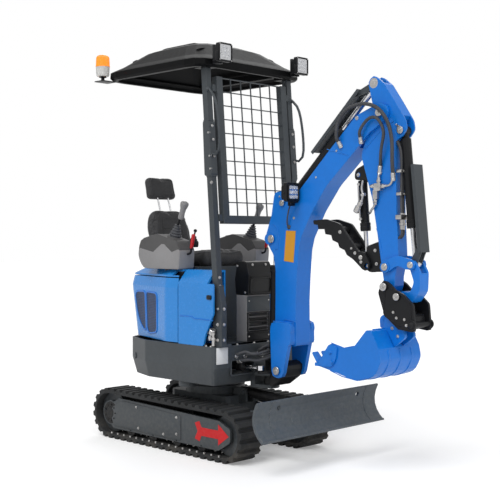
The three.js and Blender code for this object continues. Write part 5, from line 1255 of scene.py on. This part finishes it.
def ram_details(name, base, tip, length, radius, rod, ports=False):
    """The gland and wiper of one cylinder, and with ports its ring, two ports and the pipe between them."""
    along = (tip - base).normalized()
    out = Vector(RIGHT)
    barrel = Piece()
    barrel.turned(base + along * (length - 40) * MM, along,
                  [(0, radius + 1), (2, radius + 5), (16, radius + 5), (17, radius + 3), (20, radius + 3),
                   (21, radius + 5),
                   (38, radius + 5), (41, radius + 2), (42, rod + 5), (45, rod + 4), (46, rod + 0.6)], 32)
    if ports:
        ring = [(0, radius + 0.4), (4, radius + 3.4), (9, radius + 3.4), (12, radius + 0.4)]
        barrel.turned(base + along * 30 * MM, along, ring, 28)
        for d in (52, length - 58):
            spot = base + along * d * MM + out * (radius - 3) * MM
            barrel.turned(spot, out, [(0, 11), (12, 11), (13, 9), (16, 9)], 18)
    barrel.done(f"{name}_gland", f"{name}_barrel", BLACK_PAINT)
    if ports:
        steel = Piece()
        first = base + along * 52 * MM + out * (radius + 13) * MM
        last = base + along * (length - 58) * MM + out * (radius + 13) * MM
        steel.tube(route([first, first + out * 6 * MM + along * 12 * MM, first.lerp(last, 0.5) + out * 8 * MM,
                          last - along * 12 * MM + out * 6 * MM, last]), 4.5, 10)
        for spot in (first, last):
            steel.turned(spot - out * 3 * MM, out, [(0, 9), (9, 9), (10, 7)], 6)
        steel.done(f"{name}_pipe", f"{name}_barrel", ZINC)


ram_details("boom_cylinder", at(505, 0, 562), at(529, 0, 1283), 560, 29, 16)
ram_details("arm_cylinder", on_pin(ARM_RAM_BASE), on_pin(ARM_TAIL), 560, 30, 16)
ram_details("bucket_cylinder", on_pin(BUCKET_RAM_BASE), on_pin(ROCKER_HEAD), 510, 28, 15)
ram_details("thumb_cylinder", on_pin(THUMB_RAM_BASE), on_pin(THUMB_RAM_EYE), 300, 24, 12, ports=True)
ram_details("blade_cylinder", at(285, 0, 350), at(776, 0, 318), 370, 32, 16)
ram_details("swing_cylinder", at(60, -190, 528), at(515, -122, 528), 330, 24, 12)

# ---------------------------------------------------------------- arm

arm_pins = Piece()
for face in (-1, 1):
    # These heads turn between the boom's cheeks, so they lie flush.
    arm_pins.turned(on_pin(ARM_TAIL, face * 38), (0, face, 0),
                    [(0, 28), (2.3, 28), (2.5, 27), (2.5, 16), (2.1, 15), (2.1, 2)], 28)
    arm_pins.turned(on_pin(ARM_TAIL, face * 38), (0, face, 0), [(0, 11), (2.7, 11), (2.8, 9)], 6)
    pin_cap(arm_pins, BUCKET_RAM_BASE, 46, face, 20, 12)
    pin_cap(arm_pins, ROCKER_FOOT, 60, face, 20, 11)
    keeper(arm_pins, 1436, face * 40, 1884, -0.9, face)
arm_pins.done("arm_pin_caps", "arm", ZINC)

arm_welds = Piece()
for face in (-1, 1):
    y = face * 40.3
    arm_welds.weld([at(1226, y, 1770), at(1330, y, 1862), at(1418, y, 1906)], 2.4)
    arm_welds.weld([at(1303, y, 1340), at(1326, y, 1272), at(1338, y, 1210)], 2.6)
arm_welds.done("arm_welds", "arm", BLUE_PAINT)

# Black plates of the thumb's hinge and of its cylinder's hinge.
mount = Piece()
for face in (-1, 1):
    low, high = (19.2, 37) if face < 0 else (-37, -19.2)
    mount.plate(SECTION, path([(1320, 1272, 14), (1238, 1246, 12), (1210, 1146, 32), (1246, 1100, 36),
                               (1340, 1112, 8),
                             (1356, 1180, 6)]), low, high)
    low, high = (19.2, 35) if face < 0 else (-35, -19.2)
    mount.plate(SECTION, path([(1262, 1596, 8), (1146, 1606, 22), (1150, 1660, 24), (1218, 1690, 12),
                               (1262, 1642, 6)]), low, high)
mount.done("thumb_hinge_plates", "arm", BLACK_PAINT, bevel=1.5)
mount_bolts = Piece()
for x, z in ((1290, 1222), (1300, 1150)):
    mount_bolts.bolt(at(x, -37, z), RIGHT, 11)
    mount_bolts.bolt(at(x, 37, z), (0, 1, 0), 11)
for face in (-1, 1):
    mount_bolts.bolt(on_pin(THUMB_RAM_BASE, face * 38), (0, face, 0), 12)
    mount_bolts.bolt(on_pin(THUMB_HINGE, face * 42), (0, face, 0), 10)
mount_bolts.done("thumb_hinge_bolts", "arm", ZINC)


def hose(name, points, radius, body_a="boom", body_b="arm"):
    """A spiral-wrapped hose: on one body when both ends ride on it, otherwise on no body, its transform baked in.
    """
    line = route([at(*p) for p in points], 3.0)
    turn = 2 * math.pi / 7.5
    sleeve = Piece().tube(line, radius, 12, lambda s, a: 1 + 0.10 * math.sin(s * turn + a))
    if body_a == body_b:
        return sleeve.done(name, body_a, HOSE_RUBBER)
    sleeve = sleeve.done(name, None, HOSE_RUBBER)
    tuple(line[0])
    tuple(line[-1])
    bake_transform(sleeve)
    return sleeve


OUTER = [(1072, -60.3, 1792), (1060, -84, 1840), (1066, -82, 1915), (1114, -82, 1975), (1184, -82, 2004),
         (1260, -82, 2006),
         (1340, -82, 1975), (1400, -80, 1905), (1424, -72, 1810), (1424, -66, 1680), (1414, -42, 1600)]
INNER = [(1214, -60.3, 1806), (1220, -84, 1856), (1250, -80, 1905), (1294, -80, 1930), (1340, -80, 1918),
         (1374, -76, 1850),
         (1352, -68, 1750), (1326, -42, 1640)]
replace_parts(hose("boom_hose_outer", OUTER, 10), "hose_loop_outer")
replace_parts(hose("boom_hose_inner", INNER, 8.5), "hose_loop_inner")
collars = Piece()
ferrules = Piece()
for points in (OUTER, INNER):
    line = [at(*p) for p in points]
    collars.turned(line[0], line[1] - line[0], [(-6, 15), (6, 15), (7, 13), (30, 13), (31, 11)], 18)
    ferrules.turned(line[-1], line[-2] - line[-1], [(-8, 15), (4, 15), (5, 13), (34, 13), (36, 11)], 18)
collars.done("boom_hose_collars", "boom", ZINC)
ferrules.done("arm_hose_ferrules", "arm", ZINC)

# Fittings block low on the arm, with its bent steel pipes.
block = Piece()
block.plate(on(at(1322, -40, 1560), RIGHT), rounded(44, 40, 6, 3), 0, 26)
block.plate(on(at(1306, -40, 1520), RIGHT), rounded(30, 50, 6, 3), 0, 22)
for x, z, dx, dz in ((1326, 1580, 0, 1), (1344, 1562, 1, 0.1), (1302, 1496, 0.1, -1), (1300, 1566, -1, 0)):
    block.turned(at(x, -53, z), (dx, 0, dz), [(-4, 10), (6, 10), (7, 13), (18, 13), (20, 9), (30, 9), (31, 7)],
                 6)
block.tube(route([at(1326, -53, 1600), at(1327, -55, 1620), at(1326, -48, 1640)]), 6.5, 12)
block.tube(route([at(1372, -53, 1564), at(1396, -53, 1568), at(1410, -53, 1582), at(1414, -48, 1604)]), 6.5, 12)
block.tube(route([at(1300, -53, 1470), at(1292, -53, 1452), at(1276, -50, 1440), at(1262, -42, 1426),
                  at(1240, -30, 1420)]), 6.5, 12)
block.done("arm_fittings_block", "arm", ZINC, bevel=1)

# Valve and pipe behind the thumb's cylinder.
valve = Piece()
valve.tube(route([at(1206, -38, 1600), at(1204, -44, 1560), at(1212, -46, 1520), at(1204, -46, 1488)]), 6, 12)
valve.turned(at(1204, -46, 1492), (-0.62, 0, -1),
             [(0, 9), (8, 9), (9, 14), (26, 14), (28, 12), (34, 12), (36, 17), (70, 17), (74, 14),
                                                (74, 4)], 20)
valve.turned(at(1214, -46, 1522), (1, 0, 0.2), [(-10, 9), (14, 9), (15, 7)], 6)
valve.done("thumb_valve", "arm", ZINC)

# Hoses and clamps down the front of the arm.
for k, (y, front) in enumerate(((-30, 8), (-12, 6))):
    hose(f"arm_hose_{k}", [(1430, y, 1800), (1446 + front, y, 1740), (1450 + front, y, 1600),
                           (1450 + front, y, 1500),
                          (1452 + front, y, 1410)], 7.5, "arm", "arm")
    hose(f"arm_low_hose_{k}", [(1452 + front, y, 1334), (1454 + front, y, 1318), (1448 + front, y, 1300),
                               (1434, y, 1286)], 6.5, "arm", "arm")
    steel = Piece()
    steel.turned(at(1452 + front, y, 1420), (0, 0, -1),
                 [(0, 9), (20, 9), (21, 12), (34, 12), (35, 9), (50, 9), (51, 12), (64, 12),
                                                       (66, 9), (86, 9), (88, 7)], 6)
    steel.done(f"arm_hose_fitting_{k}", "arm", ZINC)
clamp = Piece()
for z in (1640, 1520):
    clamp.plate(on(at(1450, -22, z), FRONT), rounded(56, 18, 5, 3), -12, 20)
    clamp.bolt(at(1470, -22, z), FRONT, 7)
clamp.plate(on(at(1452, -20, 1398), FRONT), rounded(66, 26, 5, 3), -16, 20)
clamp.done("arm_hose_clamps", "arm", ZINC, bevel=1)

# ---------------------------------------------------------------- coupler, bucket, thumb and links

coupler = Piece()
for face in (-1, 1):
    pin_cap(coupler, BUCKET_PIN, 84, face, 22, 12)
    pin_cap(coupler, LINK_FOOT, 84, face, 20, 11)
    for x, z in ((1512, 866), (1461, 871), (1524, 836), (1440, 900)):
        coupler.bolt(at(x, face * 76, z), (0, face, 0), 9)
coupler.done("coupler_pins", "bucket", ZINC)
latch_bar = Piece()
latch_bar.tube([at(1560, y, 838) for y in range(-92, 93, 23)], 15, 18)
latch_bar.plate(on(at(1538, 0, 850), FRONT), rounded(104, 60, 12, 4), -4, 12)
for face in (-1, 1):
    latch_bar.turned(at(1560, face * 76, 838), (0, face, 0),
                     [(0, 26), (7, 26), (9, 22), (9, 12), (20, 12), (22, 9)], 20)
    latch_bar.band(on(at(1464, face * 76, 930), (0, face, 0)), [(u * face * -1, v) for u, v in
                   path([(-92, -48, 24), (6, -104, 14), (96, -92, 16), (88, 20, 26), (20, 70, 26),
                         (-74, 116, 30)], 4)],
                   [(u * face * -1, v) for u, v in
                    path([(-84, -44, 20), (8, -96, 10), (88, -84, 12), (80, 17, 22), (18, 62, 22),
                          (-70, 106, 26)], 4)], 0, 1.6)
latch_bar.done("coupler_latch", "bucket", BLACK_PAINT, bevel=1.5)

wear_bands = Piece()
for y in (-100, 0, 100):
    curve = path([(1424, 712, 20), (1438, 650, 60), (1400, 566, 110), (1283, 530, 130), (1130, 566, 80),
                  (1060, 580)], 10)[1:-1]
    rings = []
    for (xa, za), (x, z), (xb, zb) in zip(curve[:-2], curve[1:-1], curve[2:]):
        length = math.hypot(xb - xa, zb - za)
        nx, nz = (zb - za) / length, -(xb - xa) / length
        if nx * (x - 1250) + nz * (z - 660) < 0:
            nx, nz = -nx, -nz
        rings.append([at(x + nx * lift, y + dy, z + nz * lift)
                      for dy, lift in ((-9, -2), (-7, 3.5), (7, 3.5), (9, -2))])
    wear_bands.skin(rings)
wear_bands.done("bucket_wear_bands", "bucket", BLUE_PAINT)

cutters = Piece()
cutter_bolts = Piece()
for face in (-1, 1):
    plane = on(at(0, face * 178, 0), (0, face, 0))
    cutter = path([(1016, 606, 4), (1092, 716, 16), (1150, 702, 16), (1142, 640, 20), (1110, 592, 16),
                   (1040, 588, 6)])
    cutters.plate(plane, [(-face * x, z) for x, z in cutter], -1, 9)
    for x, z in ((1118, 622), (1104, 672)):
        cutter_bolts.bolt(at(x, face * 187, z), (0, face, 0), 15)
    cutters.weld([at(1096, face * 178, 572), at(1180, face * 178, 548), at(1283, face * 178, 536),
                  at(1372, face * 178, 562)], 3)
    cutters.weld([at(1100, face * 174, 722), at(1190, face * 174, 701), at(1256, face * 174, 716)], 3)
cutters.done("bucket_side_cutters", "bucket", BLUE_PAINT, bevel=1.5)
cutter_bolts.done("bucket_cutter_bolts", "bucket", BLUE_PAINT)

ears = Piece()
for face in (-1, 1):
    for x, z in ((1412, 812), (1448, 772)):
        ears.bolt(at(x, face * 48, z), (0, face, 0), 11)
ears.done("bucket_ear_bolts", "bucket", ZINC)
lug = Piece()
lug.plate(on(at(1340, 0, 838), RIGHT),
          path([(-34, -30, 6), (-40, 26, 34), (0, 46, 40), (36, 20, 30), (30, -40, 6)]), -12, 12)
lug.turned(at(1342, -13, 846), RIGHT, [(0, 20), (3, 20), (3, 13), (1, 13), (1, 2)], 20)
lug.turned(at(1342, 13, 846), (0, 1, 0), [(0, 20), (3, 20), (3, 13), (1, 13), (1, 2)], 20)
lug.plate(on(at(1362, 0, 806), (1, 0, 0.2)), rounded(300, 12, 5, 3), -3, 3)
lug.done("bucket_lifting_lug", "bucket", BLUE_PAINT, bevel=1.5)

adapters = Piece()
for k in (-1, -0.5, 0, 0.5, 1):
    y = k * 150
    adapters.plate(on(at(0, y, 0), RIGHT),
                   path([(1000, 600, 4), (1020, 626, 8), (1074, 608, 6), (1070, 592, 4), (1030, 590, 4)]),
                   -16, 16)
    adapters.turned(at(1014, y - 17, 604), RIGHT, [(0, 5), (3, 5), (4, 3)], 10)
adapters.done("tooth_adapters", "bucket", BLUE_PAINT, bevel=2)

thumb_bolts = Piece()
for face in (-1, 1):
    for x, z, size in ((1064, 1322, 12), (1169, 1207, 11), (1211, 1159, 11), (1144, 1232, 8)):
        thumb_bolts.bolt(at(x, face * 58, z), (0, face, 0), size)
    pin_cap(thumb_bolts, THUMB_RAM_EYE, 58, face, 13, 8)
thumb_bolts.done("thumb_bolts", "thumb", ZINC)
thumb_tubes = Piece()
thumb_tubes.tube([at(1030, y, 1330) for y in range(-42, 43, 12)], 24, 20)
thumb_tubes.plate(on(at(1104, 0, 1262), (0.7, 0, 0.7)), rounded(84, 70, 8, 3), -5, 5)
thumb_tubes.done("thumb_cross_members", "thumb", BLACK_PAINT, bevel=1)

link_pins = Piece()
for face in (-1, 1):
    pin_cap(link_pins, ROCKER_HEAD, 54, face, 18, 10)
link_pins.done("rocker_pin_caps", "rocker", ZINC)
rocker_edge = Piece()
for face in (-1, 1):
    ring = on(on_pin(ROCKER_FOOT, face * 53.5), (0, face, 0))
    rocker_edge.band(ring, rounded(60, 60, 30, 6), rounded(36, 36, 18, 6), 0, 5)
    rocker_edge.turned(on_pin(ROCKER_HEAD, face * 53.5), (0, face, 0), [(-1, 26), (0.8, 26), (1, 18)], 24)
rocker_edge.done("rocker_bosses", "rocker", BLUE_PAINT)

# ---------------------------------------------------------------- house fill and hoses

skirts = Piece()
for side in (-1, 1):
    skirts.plate(SECTION, path([(-90, 1042, 6), (84, 1042, 6), (84, 1101, 6), (-90, 1101, 6)]),
                 *sorted((-side * 262, -side * 338)))
skirts.done("console_plinths", "house", MOULDED, bevel=3)

# Where the hoses leave the house, as (y, z), and how far each one arches up.
HOSE_PORTS = ((-150, 590, 10), (-185, 566, 4), (-222, 596, 14), (-40, 600, 22), (-8, 585, 30))
front_hoses = Piece()
for k, (y, z, rise) in enumerate(HOSE_PORTS):
    front_hoses.tube(route([at(396, y, z), at(430, y + 2, z + rise), at(462, y + 30, z + rise * 2),
                            at(500, y + 60, z + rise),
                            at(540, y * 0.3 - 6, z + 20 + rise)]), 8 + (k % 2) * 2, 12, lambda s,
                            a: 1 + 0.06 * math.sin(s * 0.9 + a))
hoses_front = front_hoses.done("swing_hoses", None, HOSE_RUBBER)
at(404, 0, 600)
at(500, 0, 600)
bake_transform(hoses_front)
bulkhead = Piece()
for y, z, _ in HOSE_PORTS:
    bulkhead.turned(at(390, y, z), FRONT, [(0, 17), (8, 17), (9, 14), (28, 14), (30, 10)], 6)
bulkhead.done("hose_bulkhead", "house", ZINC)

valve = Piece()
valve.turned(at(352, -372, 700), (0.5, -0.2, 0.8),
             [(0, 12), (10, 12), (11, 16), (30, 16), (32, 10), (44, 10), (46, 19), (72, 19), (75, 15),
              (75, 3)], 24)
valve.turned(at(392, -384, 706), UP,
             [(-40, 9), (-8, 9), (-7, 13), (8, 13), (9, 8), (26, 8), (27, 12), (36, 12), (37, 5)], 6)
valve.tube(route([at(300, -376, 672), at(300, -378, 716), at(316, -380, 738), at(346, -380, 738)]), 8, 12)
valve.turned(at(300, -376, 662), UP, [(0, 15), (12, 15), (13, 11), (30, 11), (31, 8)], 6)
valve.done("deck_valve", "house", ZINC)
